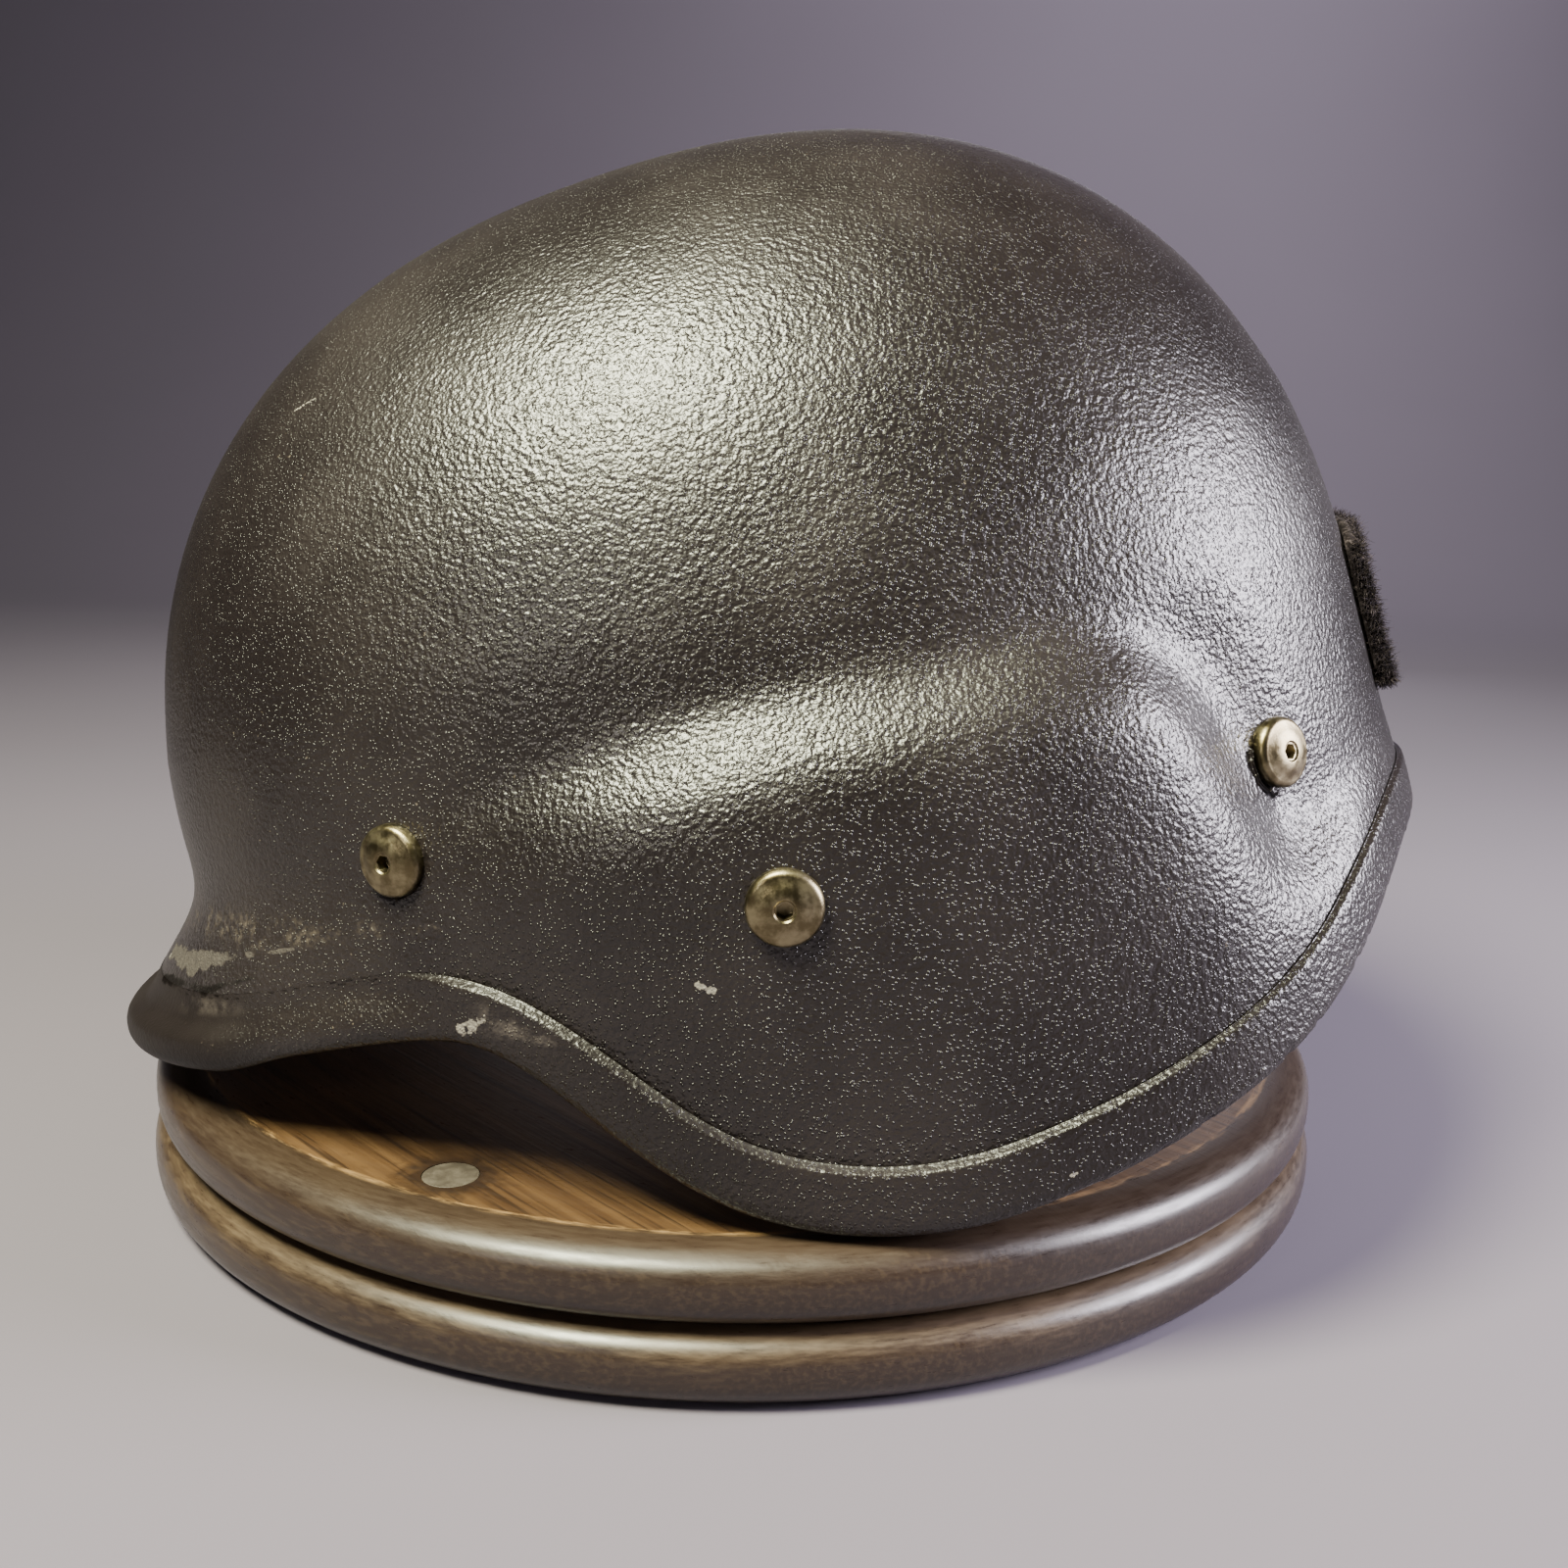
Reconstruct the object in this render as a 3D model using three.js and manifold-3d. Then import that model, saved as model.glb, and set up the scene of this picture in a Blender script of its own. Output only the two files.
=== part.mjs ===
// A ballistic helmet resting on a round wooden stand, in millimetres with +Z up.
// The stand's underside is at z = 0 with its centre at the origin, and the helmet's brow faces -X.

import * as THREE from 'three';
import { mergeVertices } from 'three/addons/utils/BufferGeometryUtils.js';
import Module from 'manifold-3d';

// Fit between neighbouring pieces
const CLEARANCE = 0.3;

// Shell, in its own frame: +X to the nape, -Y to the wearer's left, +Z up, brow level near z = 0.
// A bearing is the plan angle in degrees, 0 at the brow, 90 at the left ear, 180 at the nape.
const WALL = 8.5;
const CROWN_LEVEL = 128.5;
const WIDEST_LEVEL = 7.5;
const PLAN_POWER = 2.25;
const DOME = {
  brow: { reach: 126.3, power: 2.25, lean: 0 },
  ear: { reach: 108.5, power: 2.2, lean: 0.01 },
  nape: { reach: 129, power: 2.34, lean: -0.03 },
};

// Outward turn of the visor at the brow, by level
const VISOR = [
  { level: 30, flare: 0 },
  { level: 21, flare: 0.4 },
  { level: 16, flare: 2.4 },
  { level: 10, flare: 8.5 },
  { level: 4, flare: 16 },
  { level: -1, flare: 20.5 },
  { level: -5, flare: 22.5 },
  { level: -14, flare: 25 },
];

// Lower edge of the shell wall
const EDGE = [
  { bearing: 0, level: -4.3 },
  { bearing: 22, level: -4.2 },
  { bearing: 40, level: -6.8 },
  { bearing: 52, level: -7.4 },
  { bearing: 64, level: -13 },
  { bearing: 78, level: -45.6 },
  { bearing: 92, level: -60.4 },
  { bearing: 108, level: -61.8 },
  { bearing: 126, level: -56.5 },
  { bearing: 150, level: -43 },
  { bearing: 180, level: -47 },
];

// Bulge over each ear: a raised field with a rolled shoulder along its top and its rear
const BULGE = {
  height: 10.5,
  topAtEar: 25.5,
  topFall: 0.18, // level lost per degree behind the ear
  rearAtBrow: 131, // bearing of the rear end at brow level
  rearLean: 0.14, // degrees gained per millimetre below that
  topShoulder: 21, // run of the shoulder in millimetres
  rearShoulder: 13, // run of the shoulder in degrees
  shoulderPower: 2.4,
  creaseSoftness: 0.07,
  fadeStart: 54, // bearings between which it rises behind the temple
  fadeEnd: 84,
};

// Near the edge the valley behind the bulge closes, and a low flare runs on round the nape.
const NAPE_FLARE = {
  top: 22, // heights above the edge between which the valley closes
  bottom: 7,
  turn: 62, // degrees by which the raised field reaches further back at the edge
  fadeStart: 114, // bearings between which the field lowers to its share round the nape
  fadeEnd: 156,
  share: 0.05,
};

// Mesh divisions of the shell: columns by bearing on one side, closer behind the bulge
const COLUMN_STEPS = [
  { to: 60, step: 6 },
  { to: 90, step: 5 },
  { to: 120, step: 6 },
  { to: 150, step: 3.75 },
  { to: 180, step: 5 },
];
const CROWN_ZONE_LEVEL = 46;
const OUTER_ROWS = { crown: 9, skirt: 17 };
const INNER_ROWS = { crown: 4, skirt: 8 };
const SKIRT_ROW_GROWTH = 1.2;

// Steps over which slopes are measured, in degrees round the shell and millimetres down it
const SLOPE_STEP = { turn: 0.05, drop: 0.05, edgeTurn: 0.2 };

// Rubber channel over the shell's edge
const TRIM = {
  thickness: 1.8,
  outerLeg: 9.5,
  innerLeg: 8,
  bevel: 0.9,
  seatGap: 0.5,
  sole: 3,
  soleRound: 2.4,
};

// Button-head screws through the wall, each with a plain round nut inside
const SCREW = {
  headRadius: 6.3,
  headHeight: 2.6,
  dome: 0.5,
  domeAtHalfRadius: 0.4,
  edgeRound: 0.8,
  shankRadius: 3,
  sides: 12,
};
const SOCKET = { acrossFlats: 2.8, depth: 1.9, sides: 6, rimRadius: 1.9, rimDepth: 0.35 };
const NUT = { radius: 5.5, height: 3, sides: 8 };
const SCREW_PLACES = [
  { name: 'front', bearing: 58.6, level: 19.5 },
  { name: 'side', bearing: 90.4, level: -3.9 },
  { name: 'rear', bearing: 136.7, level: -14.6 },
];

// Pile patch across the nape
const PATCH = { columns: 9, columnStep: 5, top: 13, bottom: -21, thickness: 3.4, rows: 4, cornerDrop: 2.5 };

// Stand: two bullnosed discs, with a round plug let into the upper one
const STAND = { thickness: 13.2, lowerRadius: 130.5, upperRadius: 129.7, sides: 48, noseSteps: 5 };
const PLUG = { x: -47.7, y: -100.7, radius: 5, depth: 6, sides: 16 };

// Pose of the helmet on the stand
const TILT = THREE.MathUtils.degToRad(20.2);
const SHELL_PLACE = { x: 7.2, y: -2, z: 85.7 };

const wasm = await Module();
wasm.setup();

// Solids and meshes

function toSolid(geometry) {
  const bare = geometry.clone();
  bare.deleteAttribute('normal');
  bare.deleteAttribute('uv');
  const merged = mergeVertices(bare, 1e-4);
  const vertProperties = new Float32Array(merged.attributes.position.array);
  const triVerts = new Uint32Array(merged.index.array);
  return new wasm.Manifold(new wasm.Mesh({ numProp: 3, vertProperties, triVerts }));
}

function toGeometry(solid) {
  const mesh = solid.getMesh();
  const geometry = new THREE.BufferGeometry();
  geometry.setAttribute('position', new THREE.BufferAttribute(mesh.vertProperties, 3));
  geometry.setIndex(new THREE.BufferAttribute(mesh.triVerts, 1));
  return geometry;
}

// Joins a grid of points into triangles along the shorter diagonal of each cell.
// A ring closes the columns, a loop closes the rows, and flip turns the faces over.
function gridFaces(points, columnCount, { ring = true, loop = false, offset = 0, flip = false } = {}) {
  const faces = [];
  const rowCount = points.length / columnCount;
  const rowSpan = loop ? rowCount : rowCount - 1;
  const columnSpan = ring ? columnCount : columnCount - 1;
  for (let row = 0; row < rowSpan; row += 1) {
    for (let column = 0; column < columnSpan; column += 1) {
      const nextRow = (row + 1) % rowCount;
      const nextColumn = (column + 1) % columnCount;
      const cell = [
        row * columnCount + column,
        row * columnCount + nextColumn,
        nextRow * columnCount + nextColumn,
        nextRow * columnCount + column,
      ];
      if (flip) {
        cell.reverse();
      }
      const [p, q, r, s] = cell.map((index) => points[index]);
      const [a, b, c, d] = cell.map((index) => index + offset);
      const alongFirst = p.distanceToSquared(r) <= q.distanceToSquared(s);
      faces.push(...(alongFirst ? [a, b, c, a, c, d] : [b, c, d, b, d, a]));
    }
  }
  return faces;
}

function fromPoints(points, faces) {
  const geometry = new THREE.BufferGeometry().setFromPoints(points);
  geometry.setIndex(faces);
  return geometry;
}

// Shape of the shell

function tableCurve(rows, from, to) {
  const sorted = [...rows].sort((first, second) => first[from] - second[from]);
  const stations = sorted.map((row) => row[from]);
  const values = sorted.map((row) => row[to]);
  const curve = new THREE.CubicInterpolant(stations, values, 1);
  curve.settings = { endingStart: THREE.ZeroSlopeEnding, endingEnd: THREE.ZeroSlopeEnding };
  const lowest = stations[0];
  const highest = stations[stations.length - 1];
  return (station) => curve.evaluate(THREE.MathUtils.clamp(station, lowest, highest))[0];
}

const visorFlare = tableCurve(VISOR, 'level', 'flare');
const edgeByBearing = tableCurve(EDGE, 'bearing', 'level');

// Both sides are alike, so a bearing folds onto 0 to 180.
function foldBearing(bearing) {
  const turn = THREE.MathUtils.euclideanModulo(bearing, 360);
  return turn > 180 ? 360 - turn : turn;
}

function edgeLevel(bearing) {
  return edgeByBearing(foldBearing(bearing));
}

function domeReach(direction, level) {
  const rise = THREE.MathUtils.clamp((level - WIDEST_LEVEL) / (CROWN_LEVEL - WIDEST_LEVEL), 0, 1);
  const lean = direction.lean * Math.max(WIDEST_LEVEL - level, 0);
  return direction.reach * Math.pow(1 - Math.pow(rise, direction.power), 1 / direction.power) + lean;
}

function bulgeHeight(bearing, level) {
  const side = foldBearing(bearing);
  const overEdge = level - edgeLevel(bearing);
  const closing = 1 - THREE.MathUtils.smoothstep(overEdge, NAPE_FLARE.bottom, NAPE_FLARE.top);
  const towardNape = THREE.MathUtils.smoothstep(side, NAPE_FLARE.fadeStart, NAPE_FLARE.fadeEnd);
  const height = BULGE.height * THREE.MathUtils.lerp(1, NAPE_FLARE.share, towardNape);
  const top = BULGE.topAtEar - BULGE.topFall * Math.max(side - 90, 0);
  const rear = BULGE.rearAtBrow - BULGE.rearLean * level + NAPE_FLARE.turn * closing;
  const fromTop = Math.max(1 - (top - level) / BULGE.topShoulder, 0);
  const fromRear = Math.max(1 - (rear - side) / BULGE.rearShoulder, 0);
  const inside = 1 - Math.pow(Math.hypot(fromTop, fromRear), BULGE.shoulderPower);
  const softened = (inside + Math.hypot(inside, BULGE.creaseSoftness)) / 2;
  return height * softened * THREE.MathUtils.smoothstep(side, BULGE.fadeStart, BULGE.fadeEnd);
}

function shellPoint(bearing, level) {
  const angle = THREE.MathUtils.degToRad(bearing);
  const forward = Math.cos(angle);
  const lengthwise = forward > 0
    ? domeReach(DOME.brow, level) + visorFlare(level)
    : domeReach(DOME.nape, level);
  const across = domeReach(DOME.ear, level);
  const along = Math.pow(Math.abs(forward) / lengthwise, PLAN_POWER);
  const aside = Math.pow(Math.abs(Math.sin(angle)) / across, PLAN_POWER);
  const radius = Math.pow(along + aside, -1 / PLAN_POWER) + bulgeHeight(bearing, level);
  return new THREE.Vector3(-radius * forward, -radius * Math.sin(angle), level);
}

function shellNormal(bearing, level) {
  const { turn, drop } = SLOPE_STEP;
  const round = shellPoint(bearing + turn, level).sub(shellPoint(bearing - turn, level));
  const down = shellPoint(bearing, level - drop).sub(shellPoint(bearing, level));
  return down.cross(round).normalize();
}

// Level of a mesh row: evenly turned over the crown, then stepped down to the shell's edge.
function rowLevel(bearing, row, rows) {
  const domeHeight = CROWN_LEVEL - WIDEST_LEVEL;
  if (row <= rows.crown) {
    const zoneAngle = Math.acos((CROWN_ZONE_LEVEL - WIDEST_LEVEL) / domeHeight);
    return WIDEST_LEVEL + domeHeight * Math.cos(zoneAngle * row / rows.crown);
  }
  const share = Math.pow((row - rows.crown) / rows.skirt, SKIRT_ROW_GROWTH);
  return THREE.MathUtils.lerp(CROWN_ZONE_LEVEL, edgeLevel(bearing), share);
}

function columnBearings() {
  const side = [0];
  for (const { to, step } of COLUMN_STEPS) {
    while (side[side.length - 1] < to - step / 2) {
      side.push(side[side.length - 1] + step);
    }
  }
  const otherSide = side.slice(1, -1).reverse().map((bearing) => 360 - bearing);
  return [...side, ...otherSide];
}

const COLUMN_BEARINGS = columnBearings();
const COLUMNS = COLUMN_BEARINGS.length;

// One face of the wall, from the crown down to the edge; depth is measured in from the outer face.
function wallRows(rows, depth) {
  const points = [];
  for (let row = 1; row <= rows.crown + rows.skirt; row += 1) {
    for (const bearing of COLUMN_BEARINGS) {
      const level = rowLevel(bearing, row, rows);
      const inward = shellNormal(bearing, level).multiplyScalar(-depth);
      points.push(shellPoint(bearing, level).add(inward));
    }
  }
  return points;
}

function crownFan(pole, firstRing, flip) {
  const faces = [];
  for (let column = 0; column < COLUMNS; column += 1) {
    const here = firstRing + column;
    const next = firstRing + (column + 1) % COLUMNS;
    faces.push(...(flip ? [pole, next, here] : [pole, here, next]));
  }
  return faces;
}

function shellGeometry() {
  const outer = wallRows(OUTER_ROWS, 0);
  const inner = wallRows(INNER_ROWS, WALL);
  const innerStart = outer.length;
  const outerPole = innerStart + inner.length;
  const innerPole = outerPole + 1;
  const points = [
    ...outer,
    ...inner,
    new THREE.Vector3(0, 0, CROWN_LEVEL),
    new THREE.Vector3(0, 0, CROWN_LEVEL - WALL),
  ];
  const faces = [
    ...crownFan(outerPole, 0, false),
    ...gridFaces(outer, COLUMNS, { flip: true }),
    ...crownFan(innerPole, innerStart, true),
    ...gridFaces(inner, COLUMNS, { offset: innerStart }),
  ];
  const outerRim = outer.length - COLUMNS;
  const innerRim = innerStart + inner.length - COLUMNS;
  for (let column = 0; column < COLUMNS; column += 1) {
    const next = (column + 1) % COLUMNS;
    const [a, b, c, d] = [outerRim + column, outerRim + next, innerRim + next, innerRim + column];
    faces.push(a, c, b, a, d, c);
  }
  return fromPoints(points, faces);
}

// Rubber trim

function edgePoint(bearing) {
  return shellPoint(bearing, edgeLevel(bearing));
}

// Place on the wall's outer face a distance up from the edge, square to it, moved out along the normal.
function trimPoint(bearing, { up, out }) {
  const turn = SLOPE_STEP.edgeTurn;
  const seat = edgePoint(bearing);
  const outward = shellNormal(bearing, edgeLevel(bearing));
  const run = edgePoint(bearing + turn).sub(edgePoint(bearing - turn)).normalize();
  const rise = new THREE.Vector3().crossVectors(outward, run);
  const place = seat.addScaledVector(rise, up);
  if (up <= 0) {
    return place.addScaledVector(outward, out);
  }
  const placeBearing = THREE.MathUtils.radToDeg(Math.atan2(-place.y, -place.x));
  const normal = shellNormal(placeBearing, place.z);
  return shellPoint(placeBearing, place.z).addScaledVector(normal, out);
}

// Section of the channel, from the lip of its outer leg round the sole to the inner leg
function trimSection() {
  const face = TRIM.seatGap + TRIM.thickness;
  const bed = -WALL - TRIM.seatGap;
  const back = bed - TRIM.thickness;
  const facet = TRIM.soleRound / 3;
  return [
    { up: TRIM.outerLeg, out: TRIM.seatGap },
    { up: TRIM.outerLeg, out: face - TRIM.bevel },
    { up: TRIM.outerLeg - TRIM.bevel, out: face },
    { up: TRIM.outerLeg / 2, out: face },
    { up: -TRIM.sole + TRIM.soleRound, out: face },
    { up: -TRIM.sole + facet, out: face - facet },
    { up: -TRIM.sole, out: face - TRIM.soleRound },
    { up: -TRIM.sole, out: back + TRIM.soleRound },
    { up: -TRIM.sole + TRIM.soleRound, out: back },
    { up: TRIM.innerLeg, out: back },
    { up: TRIM.innerLeg, out: bed },
    { up: -TRIM.seatGap, out: bed },
    { up: -TRIM.seatGap, out: TRIM.seatGap },
    { up: TRIM.outerLeg / 2, out: TRIM.seatGap },
  ];
}

function trimGeometry() {
  const section = trimSection();
  const points = section.flatMap((place) => COLUMN_BEARINGS.map((bearing) => trimPoint(bearing, place)));
  return fromPoints(points, gridFaces(points, COLUMNS, { loop: true, flip: true }));
}

// Turned pieces, with their axis along +Z

function turned(profile, sides) {
  const points = profile.map(([radius, height]) => new THREE.Vector2(radius, height));
  return new THREE.LatheGeometry(points, sides).rotateX(Math.PI / 2);
}

// Screws: the axis points out of the wall, with z = 0 on its outer face.

function screwGeometry() {
  const seat = CLEARANCE;
  const top = seat + SCREW.headHeight;
  const tip = -WALL - 2 * CLEARANCE - NUT.height;
  const body = turned([
    [0, tip],
    [SCREW.shankRadius, tip],
    [SCREW.shankRadius, seat],
    [SCREW.headRadius, seat],
    [SCREW.headRadius, top - SCREW.edgeRound],
    [SCREW.headRadius - SCREW.edgeRound, top],
    [SCREW.headRadius / 2, top + SCREW.domeAtHalfRadius],
    [0, top + SCREW.dome],
  ], SCREW.sides);
  const sunk = (radius, depth, sides) => {
    const bar = new THREE.CylinderGeometry(radius, radius, 2 * depth, sides);
    return toSolid(bar.rotateX(Math.PI / 2).translate(0, 0, top + SCREW.dome));
  };
  const socket = sunk(SOCKET.acrossFlats / Math.sqrt(3), SOCKET.depth, SOCKET.sides);
  const rim = sunk(SOCKET.rimRadius, SOCKET.rimDepth, SCREW.sides);
  return toGeometry(toSolid(body).subtract(socket).subtract(rim));
}

function nutGeometry() {
  const bore = SCREW.shankRadius + CLEARANCE;
  const seat = -WALL - CLEARANCE;
  return turned([
    [bore, seat - NUT.height],
    [NUT.radius, seat - NUT.height],
    [NUT.radius, seat],
    [bore, seat],
    [bore, seat - NUT.height],
  ], NUT.sides);
}

// Hole through the wall, with a flat seat for the head outside and for the nut inside
function screwHoleGeometry() {
  const reach = 2 * WALL;
  return turned([
    [0, -WALL - reach],
    [NUT.radius + CLEARANCE, -WALL - reach],
    [NUT.radius + CLEARANCE, -WALL],
    [SCREW.shankRadius + CLEARANCE, -WALL],
    [SCREW.shankRadius + CLEARANCE, 0],
    [SCREW.headRadius + CLEARANCE, 0],
    [SCREW.headRadius + CLEARANCE, reach],
    [0, reach],
  ], SCREW.sides);
}

function screwMatrix(bearing, level) {
  const seat = shellPoint(bearing, level);
  const axis = shellNormal(bearing, level);
  const turn = new THREE.Quaternion().setFromUnitVectors(new THREE.Vector3(0, 0, 1), axis);
  return new THREE.Matrix4().compose(seat, turn, new THREE.Vector3(1, 1, 1));
}

const screws = SCREW_PLACES.flatMap(({ name, bearing, level }) => [
  { name: `${name}_left`, matrix: screwMatrix(bearing, level) },
  { name: `${name}_right`, matrix: screwMatrix(-bearing, level) },
]);

function drilledShellGeometry() {
  let solid = toSolid(shellGeometry());
  for (const { matrix } of screws) {
    solid = solid.subtract(toSolid(screwHoleGeometry().applyMatrix4(matrix)));
  }
  return toGeometry(solid);
}

// Pile patch, a curved slab that follows the nape

function patchPoint(column, row, out) {
  const end = column === 0 || column === PATCH.columns - 1;
  const inset = end ? PATCH.cornerDrop : 0;
  const bearing = 180 + (column - (PATCH.columns - 1) / 2) * PATCH.columnStep;
  const level = THREE.MathUtils.lerp(PATCH.top - inset, PATCH.bottom + inset, row / PATCH.rows);
  return shellPoint(bearing, level).addScaledVector(shellNormal(bearing, level), out);
}

function patchGeometry() {
  const points = [];
  const addFace = (rows, out) => {
    for (const row of rows) {
      for (let column = 0; column < PATCH.columns; column += 1) {
        points.push(patchPoint(column, row, out));
      }
    }
  };
  const rows = Array.from({ length: PATCH.rows + 1 }, (_, row) => row);
  addFace(rows, CLEARANCE + PATCH.thickness);
  addFace([...rows].reverse(), CLEARANCE);
  const rowCount = 2 * rows.length;
  const faces = gridFaces(points, PATCH.columns, { ring: false, loop: true, flip: true });
  for (let row = 0; row < PATCH.rows; row += 1) {
    const ladder = [row, row + 1, rowCount - 2 - row, rowCount - 1 - row];
    const [a, b, c, d] = ladder.map((step) => step * PATCH.columns);
    faces.push(a, c, b, a, d, c);
    const [e, f, g, h] = [a, b, c, d].map((corner) => corner + PATCH.columns - 1);
    faces.push(e, f, g, e, g, h);
  }
  return fromPoints(points, faces);
}

// Stand

function discGeometry(radius, bottom) {
  const nose = STAND.thickness / 2;
  const profile = [[0, bottom]];
  for (let step = 0; step <= STAND.noseSteps; step += 1) {
    const angle = Math.PI * (step / STAND.noseSteps - 0.5);
    profile.push([radius - nose + nose * Math.cos(angle), bottom + nose + nose * Math.sin(angle)]);
  }
  profile.push([0, bottom + STAND.thickness]);
  return turned(profile, STAND.sides);
}

const UPPER_BOTTOM = STAND.thickness + CLEARANCE;
const STAND_TOP = UPPER_BOTTOM + STAND.thickness;

function roundBar(radius, bottom, top, sides) {
  const bar = new THREE.CylinderGeometry(radius, radius, top - bottom, sides);
  return bar.rotateX(Math.PI / 2).translate(PLUG.x, PLUG.y, (bottom + top) / 2);
}

function upperDiscGeometry() {
  const floor = STAND_TOP - PLUG.depth - CLEARANCE;
  const recess = roundBar(PLUG.radius + CLEARANCE, floor, STAND_TOP + PLUG.depth, PLUG.sides);
  return toGeometry(toSolid(discGeometry(STAND.upperRadius, UPPER_BOTTOM)).subtract(toSolid(recess)));
}

// Assembly

const COLOURS = {
  paint: { color: 0x1b1a1b, roughness: 0.45, metalness: 0 },
  rubber: { color: 0x161516, roughness: 0.6, metalness: 0 },
  bronze: { color: 0x3a3126, roughness: 0.35, metalness: 0.9 },
  steel: { color: 0x55544f, roughness: 0.5, metalness: 0.9 },
  pile: { color: 0x141315, roughness: 0.95, metalness: 0 },
  wood: { color: 0x3b2416, roughness: 0.4, metalness: 0 },
  plug: { color: 0x5a4f47, roughness: 0.5, metalness: 0 },
};

function piece(name, geometry, finish) {
  const material = new THREE.MeshStandardMaterial(COLOURS[finish]);
  const mesh = new THREE.Mesh(geometry, material);
  mesh.name = name;
  return mesh;
}

const helmet = new THREE.Group();
helmet.rotation.y = -TILT;
helmet.position.copy(SHELL_PLACE);
helmet.add(
  piece('shell', drilledShellGeometry(), 'paint'),
  piece('edge_trim', trimGeometry(), 'rubber'),
  piece('rear_patch', patchGeometry(), 'pile'),
);
for (const { name, matrix } of screws) {
  helmet.add(piece(`screw_${name}`, screwGeometry().applyMatrix4(matrix), 'bronze'));
  helmet.add(piece(`nut_${name}`, nutGeometry().applyMatrix4(matrix), 'steel'));
}

const stand = new THREE.Group();
stand.add(
  piece('stand_lower_disc', discGeometry(STAND.lowerRadius, 0), 'wood'),
  piece('stand_upper_disc', upperDiscGeometry(), 'wood'),
  piece('stand_plug', roundBar(PLUG.radius, STAND_TOP - PLUG.depth, STAND_TOP, PLUG.sides), 'plug'),
);

const model = new THREE.Group();
model.add(stand, helmet);

export default model;
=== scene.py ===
# %% [markdown]
# # A ballistic helmet on a round wooden stand
#
# The helmet is a moulded shell with a flared visor and a bulge over each ear. It is sprayed with
# black pebbled paint, edged with a rubber channel, drilled for six button-head screws and
# fitted with a pile patch at the nape. It rests brow-down on two stacked wooden discs.
#
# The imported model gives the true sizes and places. Each step below takes one piece from it and
# gives that piece the surface of the real one.

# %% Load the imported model
import math

import bpy
import numpy as np
from mathutils import Matrix, Vector
from mathutils.bvhtree import BVHTree


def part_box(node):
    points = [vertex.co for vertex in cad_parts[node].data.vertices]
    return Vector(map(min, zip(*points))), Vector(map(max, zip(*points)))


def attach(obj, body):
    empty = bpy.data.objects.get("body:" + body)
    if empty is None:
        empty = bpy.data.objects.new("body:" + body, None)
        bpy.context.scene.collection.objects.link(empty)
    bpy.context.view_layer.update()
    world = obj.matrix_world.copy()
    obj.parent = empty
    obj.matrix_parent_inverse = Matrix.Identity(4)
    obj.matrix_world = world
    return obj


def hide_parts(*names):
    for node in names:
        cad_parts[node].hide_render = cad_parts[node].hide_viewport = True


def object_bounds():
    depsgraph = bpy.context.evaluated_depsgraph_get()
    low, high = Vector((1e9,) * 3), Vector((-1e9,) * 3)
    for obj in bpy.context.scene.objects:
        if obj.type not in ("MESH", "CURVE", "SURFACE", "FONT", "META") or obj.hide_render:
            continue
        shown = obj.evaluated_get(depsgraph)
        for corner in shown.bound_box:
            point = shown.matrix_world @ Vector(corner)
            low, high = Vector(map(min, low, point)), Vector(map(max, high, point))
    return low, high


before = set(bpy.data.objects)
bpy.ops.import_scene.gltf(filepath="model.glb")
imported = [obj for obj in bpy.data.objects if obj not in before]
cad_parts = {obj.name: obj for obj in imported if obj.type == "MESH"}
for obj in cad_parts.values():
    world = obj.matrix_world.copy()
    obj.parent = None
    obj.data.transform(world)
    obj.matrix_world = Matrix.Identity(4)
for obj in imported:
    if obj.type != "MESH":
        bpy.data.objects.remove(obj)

MM = 0.001
cad_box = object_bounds()
cad_size = [round((high - low) / MM, 1) for low, high in zip(*cad_box)]
print("solids:", len(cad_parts), "overall size in mm:", cad_size)

# %% [markdown]
# ## The camera
#
# The view is a close one, a little above the helmet's rim, with a slight roll. The camera is
# built from its place and three angles, so that the matrix says plainly where it looks.

# %% Camera at the viewing angle
CAMERA_PLACE = Vector((7.73, -355.96, 147.92)) * MM
PITCH_DOWN = math.radians(11.12)
YAW_RIGHT = math.radians(0.24)
ROLL = math.radians(1.47)
FRAME_PIXELS = 1600
FOCAL_PIXELS = 1596.8
SENSOR_WIDTH = 36.0
CLIP_START = 10 * MM


def view_matrix(place, pitch, yaw, roll):
    forward = Vector((
        math.sin(yaw) * math.cos(pitch),
        math.cos(yaw) * math.cos(pitch),
        -math.sin(pitch),
    ))
    level = Vector((math.cos(yaw), -math.sin(yaw), 0))
    upright = level.cross(forward)
    right = math.cos(roll) * level + math.sin(roll) * upright
    above = math.cos(roll) * upright - math.sin(roll) * level
    turn = Matrix((right, above, -forward)).transposed().to_4x4()
    return Matrix.Translation(place) @ turn


camera_data = bpy.data.cameras.new("camera")
camera_data.sensor_width = SENSOR_WIDTH
camera_data.lens = SENSOR_WIDTH * FOCAL_PIXELS / FRAME_PIXELS
camera_data.clip_start = CLIP_START
camera = bpy.data.objects.new("camera", camera_data)
camera.matrix_world = view_matrix(CAMERA_PLACE, PITCH_DOWN, YAW_RIGHT, ROLL)
bpy.context.scene.collection.objects.link(camera)
bpy.context.scene.camera = camera
print("lens in mm:", round(camera_data.lens, 2))

# %% [markdown]
# ## Small tools for modelling
#
# Operators act on whatever is selected, so each step starts from a clean selection with one
# active object. A copy of a solid arrives as loose triangles. Merging its doubles and pairing
# its triangles gives a quad cage that a Subdivision Surface can round.


# %% Selecting and editing
def make_active(piece):
    bpy.ops.object.select_all(action="DESELECT")
    piece.select_set(True)
    bpy.context.view_layer.objects.active = piece


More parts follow.
